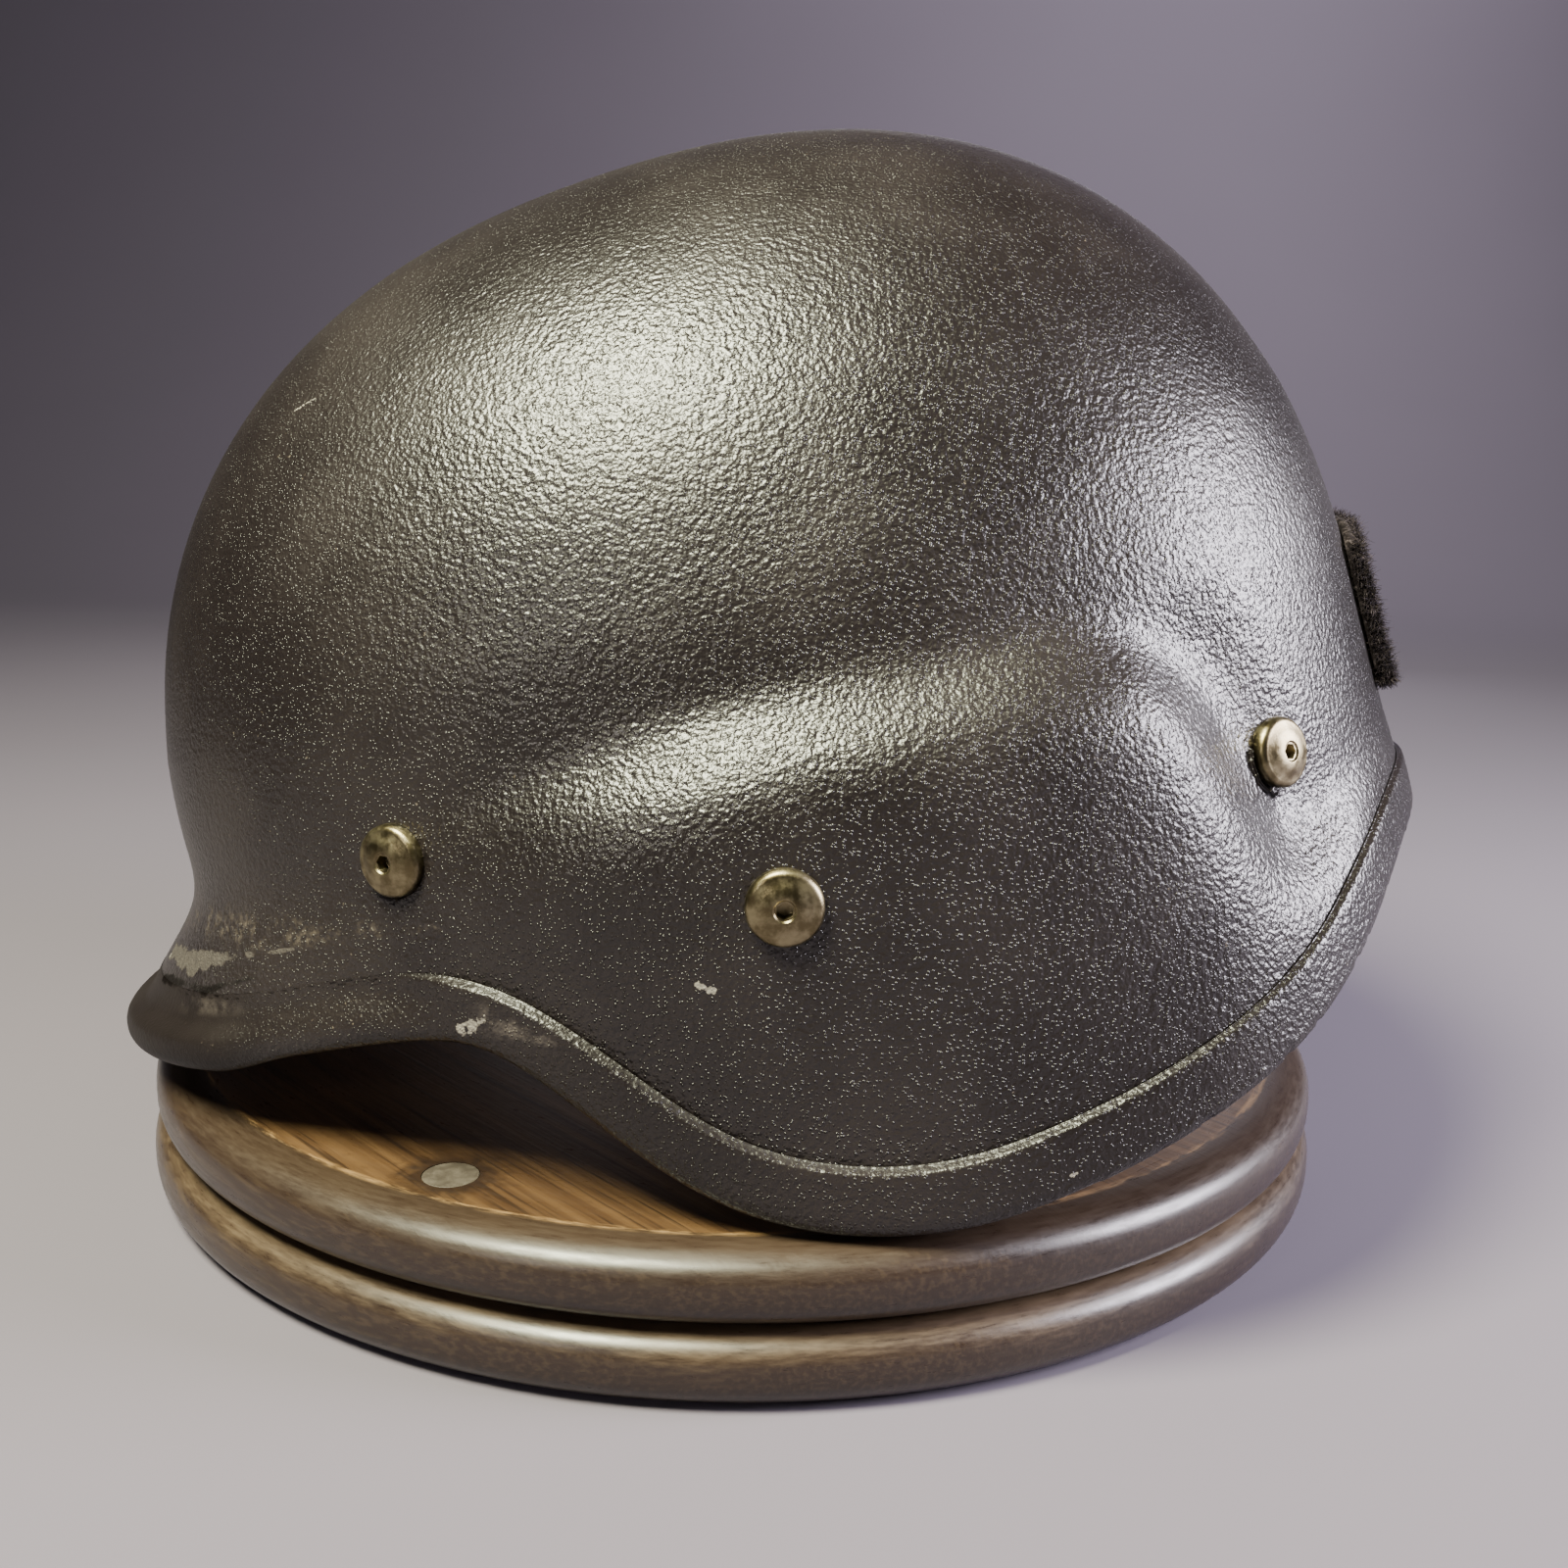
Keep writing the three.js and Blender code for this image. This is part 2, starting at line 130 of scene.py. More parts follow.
def edit(piece, select="DESELECT"):
    make_active(piece)
    bpy.ops.object.mode_set(mode="EDIT")
    bpy.ops.mesh.select_all(action=select)


def leave_edit():
    bpy.ops.object.mode_set(mode="OBJECT")


def start_primitive(name, add, **sizes):
    bpy.ops.object.select_all(action="DESELECT")
    add(**sizes)
    piece = bpy.context.active_object
    piece.name = name
    piece.data.name = name
    return piece


def pick(piece, kind, test):
    """Selects the faces or edges of a piece that pass a test, and leaves it in edit mode."""
    modes = {"faces": "FACE", "edges": "EDGE"}
    edit(piece)
    bpy.ops.mesh.select_mode(type=modes[kind])
    leave_edit()
    elements = piece.data.polygons if kind == "faces" else piece.data.edges
    for element in elements:
        element.select = test(element)
    bpy.ops.object.mode_set(mode="EDIT")


def add_modifier(piece, kind, **settings):
    make_active(piece)
    modifier = piece.modifiers.new(kind.lower(), kind)
    for name, value in settings.items():
        setattr(modifier, name, value)
    bpy.ops.object.modifier_apply(modifier=modifier.name)


def subdivide(piece, levels):
    add_modifier(piece, "SUBSURF", levels=levels, render_levels=levels)


# %% Copying a solid and finishing a piece
MERGE_DISTANCE = 0.01 * MM
PAIR_BEND = math.radians(50)
PAIR_SKEW = math.radians(70)


def quad_copy(node, name):
    """A copy of a solid's mesh, merged and turned from triangles back into quads."""
    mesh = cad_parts[node].data.copy()
    mesh.name = name
    mesh.materials.clear()
    piece = bpy.data.objects.new(name, mesh)
    bpy.context.scene.collection.objects.link(piece)
    edit(piece, "SELECT")
    bpy.ops.mesh.customdata_custom_splitnormals_clear()
    bpy.ops.mesh.remove_doubles(threshold=MERGE_DISTANCE)
    bpy.ops.mesh.tris_convert_to_quads(face_threshold=PAIR_BEND, shape_threshold=PAIR_SKEW)
    bpy.ops.mesh.faces_shade_smooth()
    leave_edit()
    return piece


def keep_sharp(piece, angle, crease):
    """Creases the edges that bend by more than an angle, so that rounding keeps them."""
    edit(piece)
    bpy.ops.mesh.select_mode(type="EDGE")
    bpy.ops.mesh.edges_select_sharp(sharpness=math.radians(angle))
    bpy.ops.transform.edge_crease(value=crease)
    leave_edit()


def settle(piece, material, slot, *nodes):
    """Gives a finished piece its material and its body, and hides the solids that it stands for."""
    piece.data.materials.clear()
    piece.data.materials.append(material)
    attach(piece, "root")
    if nodes:
        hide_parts(*nodes)
    triangles = sum(len(face.vertices) - 2 for face in piece.data.polygons)
    print(piece.name, "triangles:", triangles)


# %% [markdown]
# ## Small tools for finishes
#
# Every finish is a node material on Object coordinates. The pieces sit at the origin, so those
# coordinates are the shared frame in metres, and a texture scale of 1000 has features of about
# 1 mm. The helpers below each add a node or two and hand back an output, so that a finish reads
# like a short recipe. The same nodes could be wired by hand in the Shader Editor.


# %% Materials and places
def new_finish(name, **constants):
    material = bpy.data.materials.new(name)
    material.use_nodes = True
    tree = material.node_tree
    shader = tree.nodes["Principled BSDF"]
    for socket, value in constants.items():
        shader.inputs[socket.replace("_", " ")].default_value = value
    return material, tree, shader


def wire(tree, socket, value):
    if isinstance(value, bpy.types.NodeSocket):
        tree.links.new(value, socket)
    else:
        socket.default_value = value


def place_of(tree):
    return tree.nodes.new("ShaderNodeTexCoord").outputs["Object"]


def axes_of(tree, place):
    node = tree.nodes.new("ShaderNodeSeparateXYZ")
    tree.links.new(place, node.inputs["Vector"])
    return [node.outputs[axis] for axis in "XYZ"]


def mapped(tree, vector, rotation=(0, 0, 0), scale=(1, 1, 1)):
    node = tree.nodes.new("ShaderNodeMapping")
    node.vector_type = "TEXTURE"
    node.inputs["Rotation"].default_value = rotation
    node.inputs["Scale"].default_value = scale
    tree.links.new(vector, node.inputs["Vector"])
    return node.outputs["Vector"]


# %% Patterns and colours
def noise(tree, vector, scale, detail=2.0, roughness=0.5):
    node = tree.nodes.new("ShaderNodeTexNoise")
    node.inputs["Scale"].default_value = scale
    node.inputs["Detail"].default_value = detail
    node.inputs["Roughness"].default_value = roughness
    tree.links.new(vector, node.inputs["Vector"])
    return node.outputs["Fac"]


def cells(tree, vector, scale):
    node = tree.nodes.new("ShaderNodeTexVoronoi")
    node.inputs["Scale"].default_value = scale
    tree.links.new(vector, node.inputs["Vector"])
    return node.outputs["Distance"]


def ramp(tree, value, low, high, to_low=0.0, to_high=1.0):
    """Maps a range of values onto another in a straight line, held at both ends."""
    node = tree.nodes.new("ShaderNodeMapRange")
    node.inputs["From Min"].default_value = low
    node.inputs["From Max"].default_value = high
    node.inputs["To Min"].default_value = to_low
    node.inputs["To Max"].default_value = to_high
    tree.links.new(value, node.inputs["Value"])
    return node.outputs["Result"]


def spread(tree, value, low, high, to_low=0.0, to_high=1.0):
    """Maps a range of values onto another with smooth ends."""
    result = ramp(tree, value, low, high, to_low, to_high)
    result.node.interpolation_type = "SMOOTHSTEP"
    return result


def sums(tree, operation, first, second):
    node = tree.nodes.new("ShaderNodeMath")
    node.operation = operation
    wire(tree, node.inputs[0], first)
    wire(tree, node.inputs[1], second)
    return node.outputs["Value"]


def blend_colour(tree, share, first, second):
    node = tree.nodes.new("ShaderNodeMix")
    node.data_type = "RGBA"
    wire(tree, node.inputs["Factor"], share)
    wire(tree, node.inputs["A"], first)
    wire(tree, node.inputs["B"], second)
    return node.outputs["Result"]


def bump(tree, height, depth):
    node = tree.nodes.new("ShaderNodeBump")
    node.inputs["Distance"].default_value = depth
    tree.links.new(height, node.inputs["Height"])
    return node.outputs["Normal"]


# %% Marks along a line
NOISE_MIDDLE = 0.5
MASK_BORDER = 0.15


def vectors(tree, operation, first, second=(0, 0, 0), result="Vector"):
    node = tree.nodes.new("ShaderNodeVectorMath")
    node.operation = operation
    wire(tree, node.inputs[0], first)
    wire(tree, node.inputs[1], second)
    return node.outputs[result]


def scaled(tree, vector, share):
    node = tree.nodes.new("ShaderNodeVectorMath")
    node.operation = "SCALE"
    wire(tree, node.inputs[0], vector)
    wire(tree, node.inputs["Scale"], share)
    return node.outputs["Vector"]


def along_line(tree, place, start, end, reach_start, reach_end):
    """1 on the line between two places, falling to 0 at a reach that tapers along it."""
    span = Vector(end) - Vector(start)
    from_start = vectors(tree, "SUBTRACT", place, start)
    share = vectors(tree, "DOT_PRODUCT", from_start, span / span.length_squared, "Value")
    held = ramp(tree, share, 0.0, 1.0)
    away = vectors(tree, "SUBTRACT", from_start, scaled(tree, span, held))
    distance = vectors(tree, "LENGTH", away, result="Value")
    reach = ramp(tree, share, 0.0, 1.0, reach_start, reach_end)
    return spread(tree, sums(tree, "DIVIDE", distance, reach), 0.0, 1.0, 1.0, 0.0)


def ragged(tree, mask, grain, low, high, bite):
    """Breaks the soft border of a mask up by a noise."""
    about_zero = sums(tree, "SUBTRACT", grain, NOISE_MIDDLE)
    shifted = sums(tree, "ADD", mask, sums(tree, "MULTIPLY", about_zero, bite))
    inside = spread(tree, mask, 0.0, MASK_BORDER)
    return sums(tree, "MULTIPLY", spread(tree, shifted, low, high), inside)


# %% [markdown]
# ## The pebbled paint
#
# The shell's paint dries to a skin of small rounded pebbles, less than a millimetre apart. Each one
# carries its own glint, so the paint itself is fairly smooth and the broken highlight comes from
# the bump. Real pebbles would need millions of faces. A slow noise shifts the gloss, sparse pale
# specks stand for dust caught on the pebbles, and a few named places carry the wear of the real
# one: dust, scuffs, bare undercoat and pale chips. Where the rubber has a tear at the brow, a
# near-black line with little shine is painted just below it as its shadow.

# %% Wear on the paint
# Each row is a line on the helmet in millimetres, with how far its mark reaches at both ends.
DUSTY_LINES = [
    ((-111, -49, 58), (-86, -84, 64.5), 5.5, 5.5),
    ((-86, -84, 64.5), (-48, -105, 72.5), 5.0, 1.5),
]
BARE_LINES = [
    ((-115, -48.6, 49.5), (-103, -68.5, 53.5), 3.5, 5.0),
    ((-103, -68.5, 53.5), (-77, -91, 64), 4.5, 0.6),
]
# Painted shadow: a dark line just below the tear in the rubber at the brow.
TORN_SHADOW_LINES = [
    ((-116, -53, 45.5), (-98, -75.5, 50.5), 2.6, 2.4),
    ((-98, -75.5, 50.5), (-85, -86, 57), 2.2, 0.8),
]
SCUFFED_LINES = [
    ((-112, -66, 45), (-87, -89, 51.6), 2.8, 2.2),
    ((-87, -89, 51.6), (-73, -97, 53.3), 2.2, 1.2),
    ((-39, -111.3, 58.8), (-28, -115.3, 57.6), 4.0, 2.0),
]
CHIPPED_LINES = [
    ((-117, -46.8, 50), (-115.5, -48, 46.5), 2.2, 1.8),
    ((-4, -120.5, 68.9), (-1.5, -120.7, 68.4), 1.8, 1.5),
    ((-81.7, -64.1, 157.6), (-75.4, -67.4, 160.7), 0.8, 0.8),
    ((-43.9, -108.7, 56.1), (-39.9, -110.7, 58.7), 2.4, 2.2),
    ((56.2, -122, 39.1), (58.7, -121.7, 39.7), 1.0, 0.8),
]


def worn_lines(tree, place, rows):
    mask = None
    for start, end, reach_start, reach_end in rows:
        ends = [Vector(point) * MM for point in (start, end)]
        line = along_line(tree, place, *ends, reach_start * MM, reach_end * MM)
        mask = line if mask is None else sums(tree, "MAXIMUM", mask, line)
    return mask


MARKS = (DUSTY_LINES, BARE_LINES, TORN_SHADOW_LINES, SCUFFED_LINES, CHIPPED_LINES)
print("worn lines:", sum(len(rows) for rows in MARKS))

# %% Grain of the paint
GROUND_PER_METRE = 1000
GROUND_SHARE = 1.8
PEBBLES_PER_METRE = 1400
PEBBLE_EDGE = (0.16, 0.36)
PEBBLES_PER_CLUSTER = 3
CLUSTER_RANGE = (0.35, 0.62)
PEBBLE_HEIGHTS = (0.55, 1.0)
PEBBLE_SHARE = 0.66
PEBBLE_DEPTH = 0.2 * MM


def pebbles(tree, place):
    """Round pebbles of uneven height on a grainy ground."""
    ground = noise(tree, place, GROUND_PER_METRE, detail=1.5)
    caps = spread(tree, cells(tree, place, PEBBLES_PER_METRE), *PEBBLE_EDGE, 1.0, 0.0)
    clusters = noise(tree, place, PEBBLES_PER_METRE / PEBBLES_PER_CLUSTER)
    tall = ramp(tree, clusters, *CLUSTER_RANGE, *PEBBLE_HEIGHTS)
    raised = sums(tree, "MULTIPLY", sums(tree, "MULTIPLY", caps, tall), PEBBLE_SHARE)
    return sums(tree, "ADD", sums(tree, "MULTIPLY", ground, GROUND_SHARE), raised)


print("pebbles in a millimetre:", PEBBLES_PER_METRE * MM)

# %% Masks of the marks
DUST_FINE = (0.42, 0.66)
DUST_COARSE = (0.40, 0.68)
DUST_SHARE = 0.6
SCUFF_COARSE = (0.42, 0.62)
SCUFF_SHARE = 0.8
TORN_SHADOW_BORDER = {"low": 0.40, "high": 0.75, "bite": 1.6}
BARE_BORDER = {"low": 0.5, "high": 0.7, "bite": 2.0}
CHIP_BORDER = {"low": 0.7, "high": 0.85, "bite": 2.4}
CHIP_FLAKES = {"scale": 900, "detail": 3.0}


def paint_marks(tree, place, fine, coarse):
    """Dusty, scuffed, bare and chipped paint, and the painted shadow below the tear."""
    dusty = worn_lines(tree, place, DUSTY_LINES)
    dusty = sums(tree, "MULTIPLY", dusty, spread(tree, fine, *DUST_FINE))
    dusty = sums(tree, "MULTIPLY", dusty, spread(tree, coarse, *DUST_COARSE, 0.0, DUST_SHARE))
    scuffed = worn_lines(tree, place, SCUFFED_LINES)
    scuffed = sums(tree, "MULTIPLY", scuffed, spread(tree, coarse, *SCUFF_COARSE, 0.0, SCUFF_SHARE))
    torn_shadow = ragged(tree, worn_lines(tree, place, TORN_SHADOW_LINES), coarse, **TORN_SHADOW_BORDER)
    bare = ragged(tree, worn_lines(tree, place, BARE_LINES), coarse, **BARE_BORDER)
    flakes = noise(tree, place, **CHIP_FLAKES)
    chipped = ragged(tree, worn_lines(tree, place, CHIPPED_LINES), flakes, **CHIP_BORDER)
    return dusty, scuffed, torn_shadow, bare, chipped


# %% Paint finish
BLACK_PAINT = (0.0066, 0.0047, 0.0048, 1)
FADED_PAINT = (0.0130, 0.0098, 0.0096, 1)
DUST = (0.15, 0.122, 0.094, 1)
SCUFF = (0.085, 0.071, 0.064, 1)
# Near-black colour of the painted shadow below the tear.
TORN_SHADE = (0.003, 0.002, 0.002, 1)
BARE_UNDERCOAT = (0.048, 0.040, 0.035, 1)
PALE_CHIP = (0.21, 0.19, 0.17, 1)
SLOW_CLOUDS = {"scale": 22, "detail": 3.0, "roughness": 0.6}
FINE_SPECKS = {"scale": 620, "detail": 3.0, "roughness": 0.7}
COARSE_FLAKES = {"scale": 170, "detail": 4.0, "roughness": 0.65}
FADE_RANGE = (0.35, 0.75)
SPECK_CLOUDS = 34
SPECK_CLOUD_SHARE = 0.35
SPECK_RANGE = (0.90, 1.0)
BARE_FINE = (0.3, 0.7)
BARE_SHARES = (0.45, 1.0)
GLOSS_RANGE = (0.3, 0.7)
PAINT_ROUGHNESS = (0.29, 0.35)
MARK_ROUGHNESS = 0.35
PAINT_SHINE = 0.5
# The painted shadow below the tear also loses most of its shine, so it stays dark.
TORN_SHADOW_SHINE = 0.12


def worn_paint(tree, place):
    """Colour, roughness and shine of the paint with all its marks, and the height of its grain."""
    slow = noise(tree, place, **SLOW_CLOUDS)
    fine = noise(tree, place, **FINE_SPECKS)
    coarse = noise(tree, place, **COARSE_FLAKES)
    dusty, scuffed, torn_shadow, bare, chipped = paint_marks(tree, place, fine, coarse)
    clouds = sums(tree, "MULTIPLY", noise(tree, place, SPECK_CLOUDS), SPECK_CLOUD_SHARE)
    specks = spread(tree, sums(tree, "ADD", fine, clouds), *SPECK_RANGE)
    undercoat = sums(tree, "MULTIPLY", bare, ramp(tree, fine, *BARE_FINE, *BARE_SHARES))
    colour = blend_colour(tree, spread(tree, slow, *FADE_RANGE), BLACK_PAINT, FADED_PAINT)
    layers = [
        (specks, DUST),
        (dusty, DUST),
        (scuffed, SCUFF),
        # Painted shadow below the tear.
        (torn_shadow, TORN_SHADE),
        (undercoat, BARE_UNDERCOAT),
        (chipped, PALE_CHIP),
    ]
    for share, tint in layers:
        colour = blend_colour(tree, share, colour, tint)
    marked = dusty
    for mark in (torn_shadow, bare, chipped):
        marked = sums(tree, "MAXIMUM", marked, mark)
    gloss = spread(tree, slow, *GLOSS_RANGE, *PAINT_ROUGHNESS)
    roughness = sums(tree, "ADD", gloss, sums(tree, "MULTIPLY", marked, MARK_ROUGHNESS))
    # Less shine where the shadow below the tear is painted.
    shine = ramp(tree, torn_shadow, 0.0, 1.0, PAINT_SHINE, TORN_SHADOW_SHINE)
    return colour, roughness, shine, pebbles(tree, place)


def paint_finish():
    material, tree, shader = new_finish("textured_paint", IOR=1.5)
    colour, roughness, shine, grain = worn_paint(tree, place_of(tree))
    wire(tree, shader.inputs["Base Color"], colour)
    wire(tree, shader.inputs["Roughness"], roughness)
    wire(tree, shader.inputs["Specular IOR Level"], shine)
    wire(tree, shader.inputs["Normal"], bump(tree, grain, PEBBLE_DEPTH))
    return material


paint = paint_finish()
print("finish:", paint.name)

# %% [markdown]
# ## The shell
#
# The solid has flat facets, while the real shell is one smooth moulding. Modelling it afresh would
# lose its true form, so its copy keeps the exact cage and two levels of subdivision round it. The
# drilled holes and the wall's lower edge bend sharply, so they are creased first and stay where
# they are. Then the dip between each ear bulge and the nape is pressed in a little deeper.
#
# The helmet lies tilted on its stand, so places on it are easier to tell in its own frame, by
# their bearing round it, where 0 is the brow and 90 the left ear, and by their height above the
# wall's lower edge.

# %% Bearings and heights on the helmet
UP = Vector((0, 0, 1))
HELMET_TILT = math.radians(20.2)
HELMET_PLACE = Vector((7.2, -2, 85.7)) * MM
TO_HELMET = (Matrix.Translation(HELMET_PLACE) @ Matrix.Rotation(-HELMET_TILT, 4, "Y")).inverted()
EDGE_BEARINGS = [0, 22, 40, 52, 64, 78, 92]
EDGE_LEVELS = [-4.3, -4.2, -6.8, -7.4, -13, -45.6, -60.4]


def bearing_and_height(point):
    """Bearing in degrees, folded onto one side, and height above the wall's edge in millimetres."""
    local = TO_HELMET @ point
    bearing = abs(math.degrees(math.atan2(-local.y, -local.x)))
    return bearing, local.z / MM - float(np.interp(bearing, EDGE_BEARINGS, EDGE_LEVELS))


def outward_at(point):
    """The level direction from the helmet's middle to a point."""
    return Vector((point.x - HELMET_PLACE.x, point.y - HELMET_PLACE.y, 0)).normalized()


def ease(value, start, end):
    """0 at the start, 1 at the end and smooth between them."""
    share = min(max((value - start) / (end - start), 0.0), 1.0)
    return share * share * (3 - 2 * share)


print("tilt in degrees:", round(math.degrees(HELMET_TILT), 1))

# %% Shell
DIP_START = Vector((77, 92, 6)) * MM
DIP_END = Vector((88, 87, -28)) * MM
DIP_REACH = 19 * MM
DIP_DEPTH = 1.4 * MM


def press_dips(piece):
    """Presses in the outer face along a line on each side of the helmet."""
    span = DIP_END - DIP_START
    moves = {}
    for vertex in piece.data.vertices:
        local = TO_HELMET @ vertex.co
        from_start = Vector((local.x, abs(local.y), local.z)) - DIP_START
        share = min(max(from_start.dot(span) / span.length_squared, 0.0), 1.0)
        depth = DIP_DEPTH * ease((from_start - span * share).length, DIP_REACH, 0.0)
        if vertex.normal.dot(vertex.co - HELMET_PLACE) > 0:
            moves[vertex.index] = vertex.normal * -depth
    for index, move in moves.items():
        piece.data.vertices[index].co += move


shell = quad_copy("shell", "helmet_shell")
keep_sharp(shell, angle=45, crease=1.0)
subdivide(shell, levels=2)
press_dips(shell)
settle(shell, paint, "textured_paint", "shell")

# %% [markdown]
# ## The rubber edge
#
# A rubber channel is pressed over the shell's edge and sprayed with the same paint. Its upper lip
# shows as a bright step round the ear and thins out towards the nape. The top of the lip is also
# painted lighter, partly as wear and partly as a painted highlight, fading out before the nape.
# Between the brow and the temple the paint bridges the lip until it can't be seen, and at the brow
# a thick smooth roll stands proud below it. The cage is rounded like the shell's, then its points
# are moved by their bearing and height. That keeps the channel true to its solid and needs no
# sculpting by hand.

# %% Rubber finish
SMOOTH_ROLL = (-98 * MM, -78 * MM)
ROLL_ROUGHNESS = 0.2
ROLL_SHINE = 0.35
ROLL_GRAIN = 0.3
LIP_BEADS = 700
BEAD_RANGE = (0.35, 0.6)
BEAD_SHARES = (0.3, 1.0)
# Lighter top of the lip: partly wear of the paint, partly a painted highlight.
LIP_WEAR_AND_PAINTED_HIGHLIGHT = (0.026, 0.024, 0.0235, 1)


def attribute(tree, name):
    node = tree.nodes.new("ShaderNodeAttribute")
    node.attribute_name = name
    return node.outputs["Fac"]


def rubber_finish():
    material, tree, shader = new_finish("edge_rubber", IOR=1.45)
    place = place_of(tree)
    x = axes_of(tree, place)[0]
    smooth = spread(tree, x, *SMOOTH_ROLL, 1.0, 0.0)
    colour, roughness, shine, grain = worn_paint(tree, place)
    beads = ramp(tree, noise(tree, place, LIP_BEADS), *BEAD_RANGE, *BEAD_SHARES)
    # The lighter top of the lip is partly wear and partly a painted highlight.
    wear_and_painted_highlight = sums(tree, "MULTIPLY", attribute(tree, "lip"), beads)
    wire(tree, shader.inputs["Base Color"], blend_colour(tree, wear_and_painted_highlight, colour, LIP_WEAR_AND_PAINTED_HIGHLIGHT))
    rougher = sums(tree, "MULTIPLY", smooth, ROLL_ROUGHNESS)
    wire(tree, shader.inputs["Roughness"], sums(tree, "ADD", roughness, rougher))
    dull = ramp(tree, smooth, 0.0, 1.0, 1.0, ROLL_SHINE)
    wire(tree, shader.inputs["Specular IOR Level"], sums(tree, "MULTIPLY", shine, dull))
    held = sums(tree, "MULTIPLY", grain, ramp(tree, smooth, 0.0, 1.0, 1.0, ROLL_GRAIN))
    wire(tree, shader.inputs["Normal"], bump(tree, held, PEBBLE_DEPTH))
    return material


rubber = rubber_finish()
print("finish:", rubber.name)

# %% Rubber edge
# Ranges are bearings in degrees, heights in millimetres, or how far a face turns one way.
PAINTED_GAP = 0.1 * MM
SEAT_GAP = 0.5 * MM
SEAT_FADE = (1.3 * MM, 0.6 * MM)
OUTSIDE_TURN = (0.1, 0.4)
LIP_TAPER = 0.6
LIP_TURN = (0.97, 0.6)
BRIDGED_BEARINGS = (63, 55)
BRIDGED_HEIGHTS = (0.5, 8.0)
NAPE_THINNING = 0.4
NAPE_BEARINGS = (95, 125)
# Bearings over which the lip's wear and painted highlight fade out towards the nape.
WEAR_AND_HIGHLIGHT_BEARINGS = (125, 105)
ROLL_SWELL = 2.2 * MM
ROLL_BEARINGS = (45, 36)
ROLL_HEIGHTS = (5.2, 2.2)
ROLL_TURN = (0.0, 0.5)


def shell_surface():
    vertices = [vertex.co for vertex in shell.data.vertices]
    return BVHTree.FromPolygons(vertices, [tuple(face.vertices) for face in shell.data.polygons])


def shape_edge(piece):
    """Seats the lip on the shell, bridges it with paint up to the temple and swells the roll."""
    surface = shell_surface()
    lip = piece.data.attributes.new("lip", "FLOAT", "POINT")
    normals = [vertex.normal.copy() for vertex in piece.data.vertices]
    for vertex, outer in zip(piece.data.vertices, normals):
        bearing, height = bearing_and_height(vertex.co)
        outward = outward_at(vertex.co)
        spot, normal, _, gap = surface.find_nearest(vertex.co)
        outside = ease(normal.dot(outward), *OUTSIDE_TURN)
        uphill = UP - normal * normal.z
        topmost = ease(outer.dot(normal), *LIP_TURN) if outer.dot(uphill) > 0 else 0.0
        bridged = ease(bearing, *BRIDGED_BEARINGS) * ease(height, *BRIDGED_HEIGHTS)
        seated = gap - (SEAT_GAP - PAINTED_GAP) * ease(gap, *SEAT_FADE)
        nape = 1 - NAPE_THINNING * ease(bearing, *NAPE_BEARINGS)
        thinned = seated * (1 - LIP_TAPER * topmost) * nape
        offset = thinned + (PAINTED_GAP - thinned) * bridged
        brow = ease(bearing, *ROLL_BEARINGS) * ease(height, *ROLL_HEIGHTS)
        swell = brow * ease(outer.dot(outward), *ROLL_TURN)
        seating = (vertex.co - spot).normalized() * (offset - gap) * outside
        vertex.co = vertex.co + (seating + outer * ROLL_SWELL * swell)
        # The top of the lip carries wear and a painted highlight, fading out towards the nape.
        wear_and_painted_highlight = ease(bearing, *WEAR_AND_HIGHLIGHT_BEARINGS)
        lip.data[vertex.index].value = topmost * (1 - bridged) * outside * wear_and_painted_highlight


edge = quad_copy("edge_trim", "rubber_edge")
keep_sharp(edge, angle=40, crease=0.15)
subdivide(edge, levels=3)
shape_edge(edge)
settle(edge, rubber, "edge_rubber", "edge_trim")

# %% [markdown]
# ## The stand
#
# Two turned discs lie one on the other, each with a fully rounded edge. A cylinder primitive with
# both rims bevelled by half its thickness gives a half-round edge, and moving its points inwards
# and up gives the longer, fuller curve of the real one. The upper disc has a shallow round recess,
# cut with a Boolean because its flat face needs no tidy cage, and a grey plug sits in it.
#
# The flat faces show long straight grain, so their noise is stretched along one direction. The
# round edge is stained darker and rubbed along its turning marks, so its noise follows the disc
# round.

# %% Places on a disc
DISC_RADIUS = 130 * MM


def disc_coordinates(tree, place):
    """Distance from the disc's axis, height, and a place round it with the seam at the back."""
    x, y, z = axes_of(tree, place)
    squares = sums(tree, "ADD", sums(tree, "MULTIPLY", x, x), sums(tree, "MULTIPLY", y, y))
    radius = sums(tree, "SQRT", squares, 0.0)
    turn = sums(tree, "ARCTAN2", x, sums(tree, "MULTIPLY", y, -1.0))
    joined = tree.nodes.new("ShaderNodeCombineXYZ")
    wire(tree, joined.inputs["X"], sums(tree, "MULTIPLY", turn, DISC_RADIUS))
    wire(tree, joined.inputs["Y"], radius)
    wire(tree, joined.inputs["Z"], z)
    return radius, z, joined.outputs["Vector"]


# %% Flat face of the wood
GRAIN_TURN = math.radians(-47)
GRAIN_STRETCH = (40, 1, 1)
GRAIN_BANDS = {"scale": 300, "detail": 4.0, "roughness": 0.6}
GRAIN_PORES = {"scale": 1150, "detail": 2.0, "roughness": 0.55}
BAND_RANGE = (0.32, 0.66)
PORE_RANGE = (0.56, 0.68)
PORE_SHARE = 0.75
FACE_LIGHT = (0.086, 0.047, 0.0205, 1)
FACE_DARK = (0.042, 0.021, 0.009, 1)
PORE = (0.014, 0.0075, 0.0045, 1)
HALO_REACH = 13 * MM
HALO_HALF = Vector((1 * MM, 0, 0))
HALO_NOISE = 380
HALO_RANGE = (0.60, 1.15)
HALO_SHARE = 0.9


